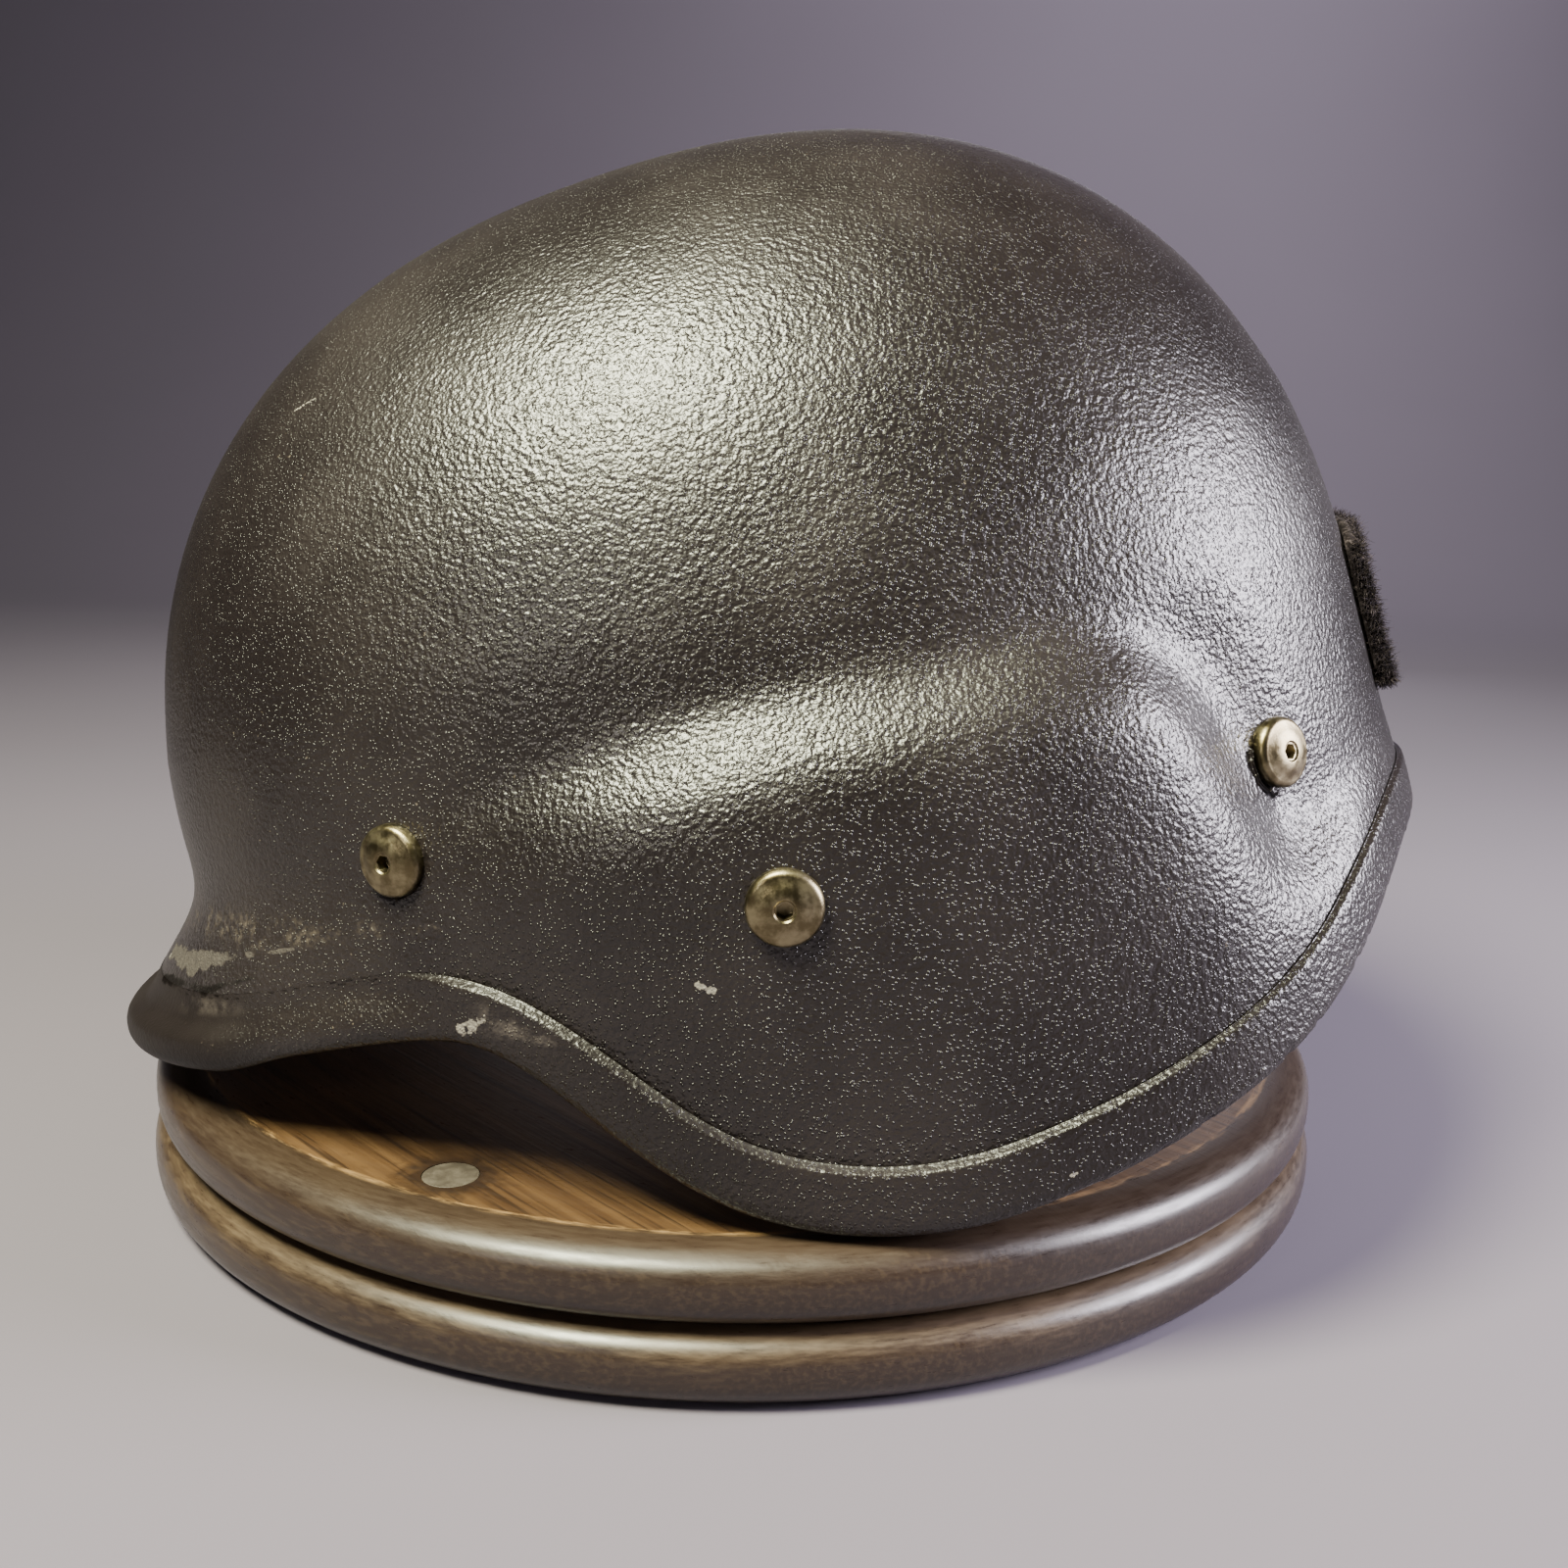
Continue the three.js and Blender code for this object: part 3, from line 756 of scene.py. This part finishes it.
def wood_face(tree, place):
    """Colour of the flat faces, dark round the plug, and the pores that the bump uses."""
    along = mapped(tree, place, rotation=(0, 0, GRAIN_TURN), scale=GRAIN_STRETCH)
    bands = noise(tree, along, **GRAIN_BANDS)
    pores = noise(tree, along, **GRAIN_PORES)
    face = blend_colour(tree, spread(tree, bands, *BAND_RANGE), FACE_DARK, FACE_LIGHT)
    face = blend_colour(tree, spread(tree, pores, *PORE_RANGE, 0.0, PORE_SHARE), face, PORE)
    low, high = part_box("stand_plug")
    middle = Vector(((low.x + high.x) / 2, (low.y + high.y) / 2, high.z))
    halo = along_line(tree, place, middle - HALO_HALF, middle + HALO_HALF, HALO_REACH, HALO_REACH)
    broken = sums(tree, "ADD", halo, noise(tree, place, HALO_NOISE))
    return blend_colour(tree, ramp(tree, broken, *HALO_RANGE, 0.0, HALO_SHARE), face, PORE), pores


# %% Wood finish
NOSE_REACH = 9.5 * MM
NOSE_STAIN = (0.0150, 0.0082, 0.0056, 1)
NOSE_WORN = (0.095, 0.064, 0.037, 1)
WORN_LINE = (0.24, 0.145, 0.065, 1)
STREAK_STRETCH = (7, 1, 1)
STREAKS = {"scale": 1100, "detail": 4.0, "roughness": 0.7}
STREAK_SHARE = 0.6
PATCHES = {"scale": 38, "detail": 3.0, "roughness": 0.6}
PATCH_SHARE = 0.4
SHOULDER_DEPTH = 0.45
SHOULDER_WEAR = 0.34
WORN_RANGE = (0.50, 1.0)
NOSE_PORES = (0.42, 0.70)
NOSE_PORE_SHARE = 0.18
FACE_BORDER = (-0.3 * MM, 0.5 * MM)
LINE_INNER = (-0.9 * MM, 0.0)
LINE_OUTER = (0.2 * MM, 1.3 * MM)
LINE_DEPTH = (-1.5 * MM, -0.5 * MM)
LINE_RUB = (0.44, 0.60)
LINE_SHARE = 0.8
STREAK_RANGE = (0.3, 0.7)
WOOD_ROUGHNESS = (0.36, 0.48)
COAT_ROUGHNESS = (0.25, 0.42)
WORN_ROUGHNESS = 0.12
PORE_DEPTH = 0.06 * MM


def spread_from(tree, value, start, limits, *ends):
    """A smooth step between two limits that are measured from a start."""
    low, high = limits
    return spread(tree, value, start + low, start + high, *ends)


def wood_finish(name, node, wear):
    low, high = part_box(node)
    shoulder_height = SHOULDER_DEPTH * (high.z - low.z)
    face_radius = (high.x - low.x) / 2 - NOSE_REACH
    material, tree, shader = new_finish(name, IOR=1.45, Specular_IOR_Level=0.25, Coat_Weight=0.65)
    place = place_of(tree)
    radius, level, round_place = disc_coordinates(tree, place)
    face, pores = wood_face(tree, place)
    streaks = noise(tree, mapped(tree, round_place, scale=STREAK_STRETCH), **STREAKS)
    patches = sums(tree, "MULTIPLY", noise(tree, round_place, **PATCHES), PATCH_SHARE)
    rub = sums(tree, "ADD", sums(tree, "MULTIPLY", streaks, STREAK_SHARE), patches)
    shoulder = ramp(tree, level, high.z - shoulder_height, high.z, 0.0, SHOULDER_WEAR)
    worn = spread(tree, sums(tree, "ADD", rub, shoulder), *WORN_RANGE, 0.0, wear)
    grained = spread(tree, pores, *NOSE_PORES, 0.0, NOSE_PORE_SHARE)
    nose = blend_colour(tree, sums(tree, "MAXIMUM", worn, grained), NOSE_STAIN, NOSE_WORN)
    colour = blend_colour(tree, spread_from(tree, radius, face_radius, FACE_BORDER), face, nose)
    inner = spread_from(tree, radius, face_radius, LINE_INNER)
    ridge = sums(tree, "MULTIPLY", inner, spread_from(tree, radius, face_radius, LINE_OUTER, 1.0, 0.0))
    line = sums(tree, "MULTIPLY", ridge, spread(tree, rub, *LINE_RUB, 0.0, LINE_SHARE))
    on_top = spread_from(tree, level, high.z, LINE_DEPTH)
    colour = blend_colour(tree, sums(tree, "MULTIPLY", line, on_top), colour, WORN_LINE)
    roughness = ramp(tree, streaks, *STREAK_RANGE, *WOOD_ROUGHNESS)
    rougher = sums(tree, "MULTIPLY", worn, WORN_ROUGHNESS)
    wire(tree, shader.inputs["Base Color"], colour)
    wire(tree, shader.inputs["Roughness"], sums(tree, "ADD", roughness, rougher))
    wire(tree, shader.inputs["Coat Roughness"], ramp(tree, streaks, *STREAK_RANGE, *COAT_ROUGHNESS))
    wire(tree, shader.inputs["Normal"], bump(tree, pores, PORE_DEPTH))
    return material


lower_wood = wood_finish("stained_wood_lower", "stand_lower_disc", wear=0.8)
upper_wood = wood_finish("stained_wood_upper", "stand_upper_disc", wear=0.25)
print("finishes:", lower_wood.name, upper_wood.name)

# %% Round edge of a disc
DISC_SIDES = 192
NOSE_SEGMENTS = 14
NOSE_BEVEL = 0.498
NOSE_FULLNESS = 0.72
DISC_SMOOTH = math.radians(30)


def shape_nose(disc, rim, middle, nose):
    """Gives the round edge the longer and fuller curve of the real one."""
    for vertex in disc.data.vertices:
        radius = vertex.co.xy.length
        height = vertex.co.z - middle
        turn = math.acos(min(max(1 - (rim - radius) / nose, 0.0), 1.0))
        depth = NOSE_REACH * (1 - math.cos(turn) ** NOSE_FULLNESS)
        lift = max(nose * math.sin(turn) ** NOSE_FULLNESS, abs(height))
        vertex.co.xy = vertex.co.xy * (rim - depth) / radius
        vertex.co.z = middle + math.copysign(min(lift, nose), height)


def bullnosed_disc(node, name):
    low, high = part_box(node)
    rim = (high.x - low.x) / 2
    thickness = high.z - low.z
    middle = (low.z + high.z) / 2
    disc = start_primitive(
        name, bpy.ops.mesh.primitive_cylinder_add, vertices=DISC_SIDES,
        radius=rim, depth=thickness, location=(0, 0, middle))
    bpy.ops.object.transform_apply(location=True)

    def on_rim(rim_edge):
        ends = [disc.data.vertices[index].co.z for index in rim_edge.vertices]
        return min(ends) > middle or max(ends) < middle

    pick(disc, "edges", on_rim)
    bpy.ops.mesh.bevel(offset=NOSE_BEVEL * thickness, segments=NOSE_SEGMENTS, profile=0.5)
    bpy.ops.mesh.select_all(action="SELECT")
    bpy.ops.mesh.normals_make_consistent(inside=False)
    leave_edit()
    shape_nose(disc, rim, middle, thickness / 2)
    bpy.ops.object.shade_smooth_by_angle(angle=DISC_SMOOTH)
    return disc


# %% Two discs and the recess
RECESS_CLEARANCE = 0.1 * MM
RECESS_EXTRA = 0.6 * MM


def plug_bar(name, grow, rise):
    """A round bar where the plug is, wider and longer than it by the given amounts."""
    low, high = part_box("stand_plug")
    return start_primitive(
        name, bpy.ops.mesh.primitive_cylinder_add, vertices=64,
        radius=(high.x - low.x) / 2 + grow, depth=high.z - low.z + rise,
        location=((low.x + high.x) / 2, (low.y + high.y) / 2, (low.z + high.z) / 2))


lower_disc = bullnosed_disc("stand_lower_disc", "wooden_lower_disc")
upper_disc = bullnosed_disc("stand_upper_disc", "wooden_upper_disc")
cutter = plug_bar("recess_cutter", RECESS_CLEARANCE, RECESS_EXTRA)
add_modifier(upper_disc, "BOOLEAN", operation="DIFFERENCE", object=cutter, solver="EXACT")
bpy.data.objects.remove(cutter)
make_active(upper_disc)
bpy.ops.object.shade_smooth_by_angle(angle=DISC_SMOOTH)
settle(lower_disc, lower_wood, "stained_wood", "stand_lower_disc")
settle(upper_disc, upper_wood, "stained_wood", "stand_upper_disc")

# %% Plug
FACING = 0.9
PLUG_RIM = 1.2 * MM
PLUG_HOLLOW = 0.15 * MM
PLUG_BEVEL = 0.2 * MM
PLUG_SMOOTH = math.radians(40)
PLUG_MOTTLE = {"scale": 420, "detail": 3.0, "roughness": 0.6}
MOTTLE_RANGE = (0.35, 0.7)
MOTTLE_DEPTH = 0.08 * MM
PLUG_DARK = (0.036, 0.028, 0.021, 1)
PLUG_LIGHT = (0.072, 0.060, 0.048, 1)


def plug_finish():
    material, tree, shader = new_finish("filler_plug", Roughness=0.55)
    mottle = noise(tree, place_of(tree), **PLUG_MOTTLE)
    tint = blend_colour(tree, spread(tree, mottle, *MOTTLE_RANGE), PLUG_DARK, PLUG_LIGHT)
    wire(tree, shader.inputs["Base Color"], tint)
    wire(tree, shader.inputs["Normal"], bump(tree, mottle, MOTTLE_DEPTH))
    return material


plug = plug_bar("filler_plug", 0.0, 0.0)
bpy.ops.object.transform_apply(location=True)
pick(plug, "faces", lambda face: face.normal.z > FACING)
bpy.ops.mesh.inset(thickness=PLUG_RIM)
bpy.ops.transform.translate(value=(0, 0, -PLUG_HOLLOW))
leave_edit()
add_modifier(plug, "BEVEL", width=PLUG_BEVEL, segments=3, limit_method="ANGLE")
bpy.ops.object.shade_smooth_by_angle(angle=PLUG_SMOOTH)
settle(plug, plug_finish(), "filler_plug", "stand_plug")

# %% [markdown]
# ## Screws and nuts
#
# The screws have low, slightly domed heads with a small hexagon socket. One head is shaped from
# a cylinder by insets, its rim is bevelled and a six-sided cutter opens the socket. All six are
# alike, so one is modelled and copied. The copies go where the solids are: a nut is a plain ring,
# so its middle lies on the screw's axis, and its thinnest direction is that axis. The rear heads
# sit deeper, because the shell dips there.

# %% Bronze and steel finishes
BRONZE_DARK = (0.115, 0.093, 0.050, 1)
BRONZE_RUBBED = (0.26, 0.222, 0.135, 1)
BRONZE_PATINA = {"scale": 330, "detail": 4.0, "roughness": 0.62}
PATINA_RANGE = (0.36, 0.68)
BRONZE_ROUGHNESS = (0.28, 0.42)
BRONZE_PITS = 2600
PIT_DEPTH = 0.018 * MM
STEEL_DARK = (0.22, 0.22, 0.215, 1)
STEEL_LIGHT = (0.36, 0.36, 0.35, 1)
STEEL_STREAKS = {"scale": 700, "detail": 3.0, "roughness": 0.6}
STEEL_ROUGHNESS = (0.32, 0.5)
METAL_RANGE = (0.3, 0.7)


def bronze_finish():
    material, tree, shader = new_finish("dark_bronze", Metallic=1.0)
    place = place_of(tree)
    patina = noise(tree, place, **BRONZE_PATINA)
    tint = blend_colour(tree, spread(tree, patina, *PATINA_RANGE), BRONZE_DARK, BRONZE_RUBBED)
    wire(tree, shader.inputs["Base Color"], tint)
    wire(tree, shader.inputs["Roughness"], spread(tree, patina, *METAL_RANGE, *BRONZE_ROUGHNESS))
    wire(tree, shader.inputs["Normal"], bump(tree, noise(tree, place, BRONZE_PITS), PIT_DEPTH))
    return material


def steel_finish():
    material, tree, shader = new_finish("plain_steel", Metallic=1.0)
    streak = noise(tree, place_of(tree), **STEEL_STREAKS)
    wire(tree, shader.inputs["Base Color"], blend_colour(tree, streak, STEEL_DARK, STEEL_LIGHT))
    wire(tree, shader.inputs["Roughness"], spread(tree, streak, *METAL_RANGE, *STEEL_ROUGHNESS))
    return material


bronze = bronze_finish()
steel = steel_finish()
print("finishes:", bronze.name, steel.name)

# %% One screw
HEAD_RADIUS = 6.3 * MM
HEAD_HEIGHT = 2.3 * MM
HEAD_ROUND = 1.3 * MM
HEAD_DOME = 0.95 * MM
DOME_RISES = (0.5, 0.32, 0.18)
SHANK_RADIUS = 3.0 * MM
SHANK_LENGTH = 12.4 * MM
SOCKET_RADIUS = 1.45 * MM
SOCKET_RIM = 1.9 * MM
SOCKET_CHAMFER = 0.3 * MM
SOCKET_DEPTH = 1.6 * MM
CUTTER_LENGTH = 4 * MM
BURR = 0.06 * MM
BURR_ANGLE = math.radians(50)
METAL_SMOOTH = math.radians(35)
NEAR_TOP = 0.9
FLAT = 0.99
FLUSH = 0.01 * MM


def model_screw():
    screw = start_primitive(
        "screw_pattern", bpy.ops.mesh.primitive_cylinder_add, vertices=64, radius=HEAD_RADIUS,
        depth=HEAD_HEIGHT, location=(0, 0, HEAD_HEIGHT / 2))
    bpy.ops.object.transform_apply(location=True)
    pick(screw, "faces", lambda face: face.normal.z < -FACING)
    bpy.ops.mesh.inset(thickness=HEAD_RADIUS - SHANK_RADIUS)
    bpy.ops.mesh.extrude_region_move(TRANSFORM_OT_translate={"value": (0, 0, -SHANK_LENGTH)})
    leave_edit()
    pick(screw, "edges", lambda rim: all(
        screw.data.vertices[index].co.z > NEAR_TOP * HEAD_HEIGHT for index in rim.vertices))
    bpy.ops.mesh.bevel(offset=HEAD_ROUND, segments=8, profile=0.5)
    leave_edit()
    top = max(vertex.co.z for vertex in screw.data.vertices)
    pick(screw, "faces", lambda face: face.normal.z > FLAT and face.center.z > top - FLUSH)
    for rise in DOME_RISES:
        bpy.ops.mesh.inset(thickness=(HEAD_RADIUS - HEAD_ROUND - SOCKET_RIM) / len(DOME_RISES))
        bpy.ops.transform.translate(value=(0, 0, HEAD_DOME * rise))
    bpy.ops.mesh.inset(thickness=SOCKET_CHAMFER)
    bpy.ops.transform.translate(value=(0, 0, -SOCKET_CHAMFER))
    leave_edit()
    cutter = start_primitive(
        "socket_cutter", bpy.ops.mesh.primitive_cylinder_add, vertices=6, radius=SOCKET_RADIUS,
        depth=CUTTER_LENGTH, location=(0, 0, HEAD_HEIGHT + CUTTER_LENGTH / 2 - SOCKET_DEPTH))
    add_modifier(screw, "BOOLEAN", operation="DIFFERENCE", object=cutter, solver="EXACT")
    bpy.data.objects.remove(cutter)
    add_modifier(screw, "BEVEL", width=BURR, segments=2, limit_method="ANGLE", angle_limit=BURR_ANGLE)
    bpy.ops.object.shade_smooth_by_angle(angle=METAL_SMOOTH)
    return screw


screw_pattern = model_screw()
print("screw faces:", len(screw_pattern.data.polygons))

# %% One nut
NUT_RADIUS = 5.5 * MM
NUT_HEIGHT = 3.0 * MM
NUT_BORE = 3.3 * MM
NUT_BEVEL = 0.35 * MM


def model_nut():
    nut = start_primitive(
        "nut_pattern", bpy.ops.mesh.primitive_cylinder_add, vertices=48, radius=NUT_RADIUS,
        depth=NUT_HEIGHT, location=(0, 0, 0))
    pick(nut, "faces", lambda face: abs(face.normal.z) > FACING)
    bpy.ops.mesh.inset(thickness=NUT_RADIUS - NUT_BORE)
    bpy.ops.mesh.bridge_edge_loops()
    bpy.ops.mesh.select_all(action="SELECT")
    bpy.ops.mesh.normals_make_consistent(inside=False)
    leave_edit()
    add_modifier(nut, "BEVEL", width=NUT_BEVEL, segments=3, limit_method="ANGLE")
    bpy.ops.object.shade_smooth_by_angle(angle=METAL_SMOOTH)
    return nut


nut_pattern = model_nut()
print("nut faces:", len(nut_pattern.data.polygons))

# %% Six screws and six nuts in their places
WALL = 8.5 * MM
CLEARANCE = 0.3 * MM
NUT_TO_FACE = NUT_HEIGHT / 2 + CLEARANCE + WALL + CLEARANCE
SUNK = {"front": 0.5 * MM, "side": 0.5 * MM, "rear": 1.5 * MM}


def nut_axis(node, away_from):
    """Middle and outward axis of a ring-shaped nut."""
    corners = np.array([vertex.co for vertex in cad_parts[node].data.vertices])
    middle = corners.mean(axis=0)
    axis = Vector(np.linalg.svd(corners - middle)[2][2]).normalized()
    if axis.dot(Vector(middle) - away_from) < 0:
        axis.negate()
    return Vector(middle), axis


def placed_copy(pattern, name, seat, axis):
    mesh = pattern.data.copy()
    mesh.name = name
    turn = UP.rotation_difference(axis).to_matrix().to_4x4()
    mesh.transform(Matrix.Translation(seat) @ turn)
    piece = bpy.data.objects.new(name, mesh)
    bpy.context.scene.collection.objects.link(piece)
    return piece


for row, sunk in SUNK.items():
    for side in ("left", "right"):
        spot = f"{row}_{side}"
        middle, axis = nut_axis(f"nut_{spot}", HELMET_PLACE)
        seat = middle + axis * (NUT_TO_FACE - sunk)
        screw = placed_copy(screw_pattern, f"button_screw_{spot}", seat, axis)
        settle(screw, bronze, "dark_bronze", f"screw_{spot}")
        nut = placed_copy(nut_pattern, f"round_nut_{spot}", middle, axis)
        settle(nut, steel, "plain_steel", f"nut_{spot}")
for pattern in (screw_pattern, nut_pattern):
    bpy.data.objects.remove(pattern)

# %% [markdown]
# ## The pile patch
#
# A pad of looped pile is glued across the nape. Its backing is a copy of the solid, rounded and
# then pressed thinner. The pile is thousands of short bent hairs. Placing them one by one with
# operators would be slow, so they are made as one mesh from lists of points: each hair is a thin
# three-sided taper that leans its own way, and they stand closer on the pad's rim. A fixed seed
# draws them the same on every run.

# %% Pile finish
PILE_TONE = 900
TONE_RANGE = (0.44, 0.74)
PILE_DARK = (0.009, 0.0065, 0.0072, 1)
PILE_LIGHT = (0.068, 0.054, 0.058, 1)


def pile_finish():
    material, tree, shader = new_finish("pile_patch", Roughness=0.9, Specular_IOR_Level=0.12)
    tone = spread(tree, noise(tree, place_of(tree), PILE_TONE), *TONE_RANGE)
    wire(tree, shader.inputs["Base Color"], blend_colour(tree, tone, PILE_DARK, PILE_LIGHT))
    return material


pile_paint = pile_finish()
print("finish:", pile_paint.name)

# %% Hairs of the pile
PILE_SEED = 11
PILE_HAIRS = 16000
RIM_DENSITY = 6.0
HAIRY_TURN = -0.3
OUTER_TURN = 0.6
HAIR_LENGTH = (1.4 * MM, 3.2 * MM)
HAIR_RADIUS = 0.09 * MM
HAIR_ROOT = 1.6 * MM
HAIR_LEAN = 0.75
HAIR_SIDES = 3
# Each ring of a hair has its share of the length, of the lean and of the width.
HAIR_RINGS = ((0.0, 0.0, 1.0), (0.55, 0.35, 0.8), (1.0, 1.0, 0.35))


def outer_faces(piece, turned_out):
    """The faces that look away from the helmet by more than a share."""
    return [face for face in piece.data.polygons
            if face.normal.dot(outward_at(face.center)) > turned_out]


def hair_points(root, normal, lean, length):
    tip_way = (normal + HAIR_LEAN * lean).normalized()
    side = normal.cross(lean).normalized()
    across = normal.cross(side).normalized()
    points = []
    for height, bend, width in HAIR_RINGS:
        way = normal.lerp(tip_way, bend).normalized()
        middle = root + way * (length * height)
        for turn in range(HAIR_SIDES):
            angle = turn * math.tau / HAIR_SIDES
            round_way = side * math.cos(angle) + across * math.sin(angle)
            points.append(middle + round_way * HAIR_RADIUS * width)
    return points


def hair_faces(first):
    faces = []
    for ring in range(len(HAIR_RINGS) - 1):
        start = first + ring * HAIR_SIDES
        for turn in range(HAIR_SIDES):
            here = start + turn
            beside = start + (turn + 1) % HAIR_SIDES
            faces.append((here, beside, beside + HAIR_SIDES, here + HAIR_SIDES))
    tip = first + (len(HAIR_RINGS) - 1) * HAIR_SIDES
    faces.append(tuple(range(tip, tip + HAIR_SIDES)))
    return faces


def pile_mesh(piece):
    draw = np.random.default_rng(PILE_SEED)
    faces = outer_faces(piece, HAIRY_TURN)
    outer = {face.index for face in outer_faces(piece, OUTER_TURN)}
    areas = np.array([face.area * (1.0 if face.index in outer else RIM_DENSITY) for face in faces])
    points = []
    polygons = []
    for index in draw.choice(len(faces), PILE_HAIRS, p=areas / areas.sum()):
        face = faces[index]
        corners = [piece.data.vertices[vertex].co for vertex in face.vertices]
        weights = draw.dirichlet(np.ones(len(corners)))
        spot = sum((corner * float(weight) for corner, weight in zip(corners, weights)), Vector())
        lean = Vector(draw.normal(0, 1, 3))
        length = float(draw.uniform(*HAIR_LENGTH))
        polygons += hair_faces(len(points))
        points += hair_points(spot - face.normal * HAIR_ROOT, face.normal, lean, length)
    mesh = bpy.data.meshes.new("pile_hairs")
    mesh.from_pydata(points, [], polygons)
    return mesh


# %% Backing and pile
BACKING_PRESS = 1.7 * MM
backing = quad_copy("rear_patch", "pile_backing")
keep_sharp(backing, angle=50, crease=0.5)
subdivide(backing, levels=2)
pile = bpy.data.objects.new("pile_hairs", pile_mesh(backing))
bpy.context.scene.collection.objects.link(pile)
pressed = {index for face in outer_faces(backing, HAIRY_TURN) for index in face.vertices}
inward = {index: backing.data.vertices[index].normal * -BACKING_PRESS for index in pressed}
for index, move in inward.items():
    backing.data.vertices[index].co += move
settle(backing, pile_paint, "pile_patch", "rear_patch")
settle(pile, pile_paint, "pile_patch")

# %% [markdown]
# ## Floor and light
#
# A pale sweep runs up behind the object, so no horizon cuts across it. It is a plane whose far
# edge is extruded upwards, with the fold bevelled round.
#
# A warm soft light stands high on the left in front, where it puts a broad highlight on the dome
# and another on the bulge. A cool one stands low on the right and lights the nape. A weak warm fill
# opens the shadows in front, a weak cool one lights the far side, and the last one washes the wall.

# %% Pale sweep
SWEEP_SIZE = 8.0
SWEEP_EDGE = SWEEP_SIZE / 2
SWEEP_BACK = 2.2
SWEEP_HEIGHT = 3.0
SWEEP_BEND = 0.9
NEAR = 0.01
PALE_TONE = 3.0
PALE_DARK = (0.106, 0.092, 0.119, 1)
PALE_LIGHT = (0.117, 0.102, 0.131, 1)


def sweep_finish():
    material, tree, shader = new_finish("pale_sweep", Roughness=0.9)
    tone = noise(tree, place_of(tree), PALE_TONE)
    wire(tree, shader.inputs["Base Color"], blend_colour(tree, tone, PALE_DARK, PALE_LIGHT))
    return material


def ends_of(side):
    return [sweep.data.vertices[index].co for index in side.vertices]


sweep = start_primitive("sweep", bpy.ops.mesh.primitive_plane_add, size=SWEEP_SIZE, location=(0, 0, 0))
pick(sweep, "edges", lambda side: all(end.y > SWEEP_EDGE - NEAR for end in ends_of(side)))
bpy.ops.transform.translate(value=(0, SWEEP_BACK - SWEEP_EDGE, 0))
bpy.ops.mesh.extrude_edges_move(TRANSFORM_OT_translate={"value": (0, 0, SWEEP_HEIGHT)})
leave_edit()
pick(sweep, "edges", lambda side: all(
    end.y > SWEEP_BACK - NEAR and end.z < NEAR for end in ends_of(side)))
bpy.ops.mesh.bevel(offset=SWEEP_BEND, segments=16, profile=0.5)
leave_edit()
bpy.ops.object.shade_smooth()
sweep.data.materials.append(sweep_finish())
print("sweep faces:", len(sweep.data.polygons))

# %% Lights
HELMET_MIDDLE = (0.0, 0.0, 0.11)
WALL_SPOT = (0.4, 2.2, 0.6)


def soft_light(name, place, target, size, power, colour):
    data = bpy.data.lights.new(name, "AREA")
    data.shape = "DISK"
    data.size = size
    data.energy = power
    data.color = colour
    light = bpy.data.objects.new(name, data)
    light.location = place
    light.rotation_euler = (Vector(target) - Vector(place)).to_track_quat("-Z", "Y").to_euler()
    light.visible_camera = False
    bpy.context.scene.collection.objects.link(light)
    print("light:", name, "watts:", power)


soft_light("warm_key", place=(-0.27, -0.34, 0.74), target=HELMET_MIDDLE,
           size=0.34, power=36.0, colour=(1.0, 1.0, 0.72))
soft_light("warm_fill", place=(-0.42, -0.68, 0.34), target=HELMET_MIDDLE,
           size=0.14, power=0.9, colour=(1.0, 0.93, 0.88))
soft_light("cool_side", place=(0.78, -0.14, 0.36), target=HELMET_MIDDLE,
           size=0.42, power=25.0, colour=(0.95, 0.90, 1.0))
soft_light("back_fill", place=(0.1, 1.0, 0.2), target=HELMET_MIDDLE,
           size=0.7, power=2.5, colour=(0.97, 0.94, 1.0))
soft_light("wall_wash", place=(0.7, 1.3, 1.3), target=WALL_SPOT,
           size=0.8, power=22.0, colour=(0.97, 0.92, 1.0))

# %% Light from all round
STUDIO_TINT = (0.8, 0.78, 0.84, 1)
STUDIO_STRENGTH = 0.07
world = bpy.data.worlds.new("studio")
world.use_nodes = True
background = world.node_tree.nodes["Background"]
background.inputs["Color"].default_value = STUDIO_TINT
background.inputs["Strength"].default_value = STUDIO_STRENGTH
bpy.context.scene.world = world
print("studio strength:", STUDIO_STRENGTH)
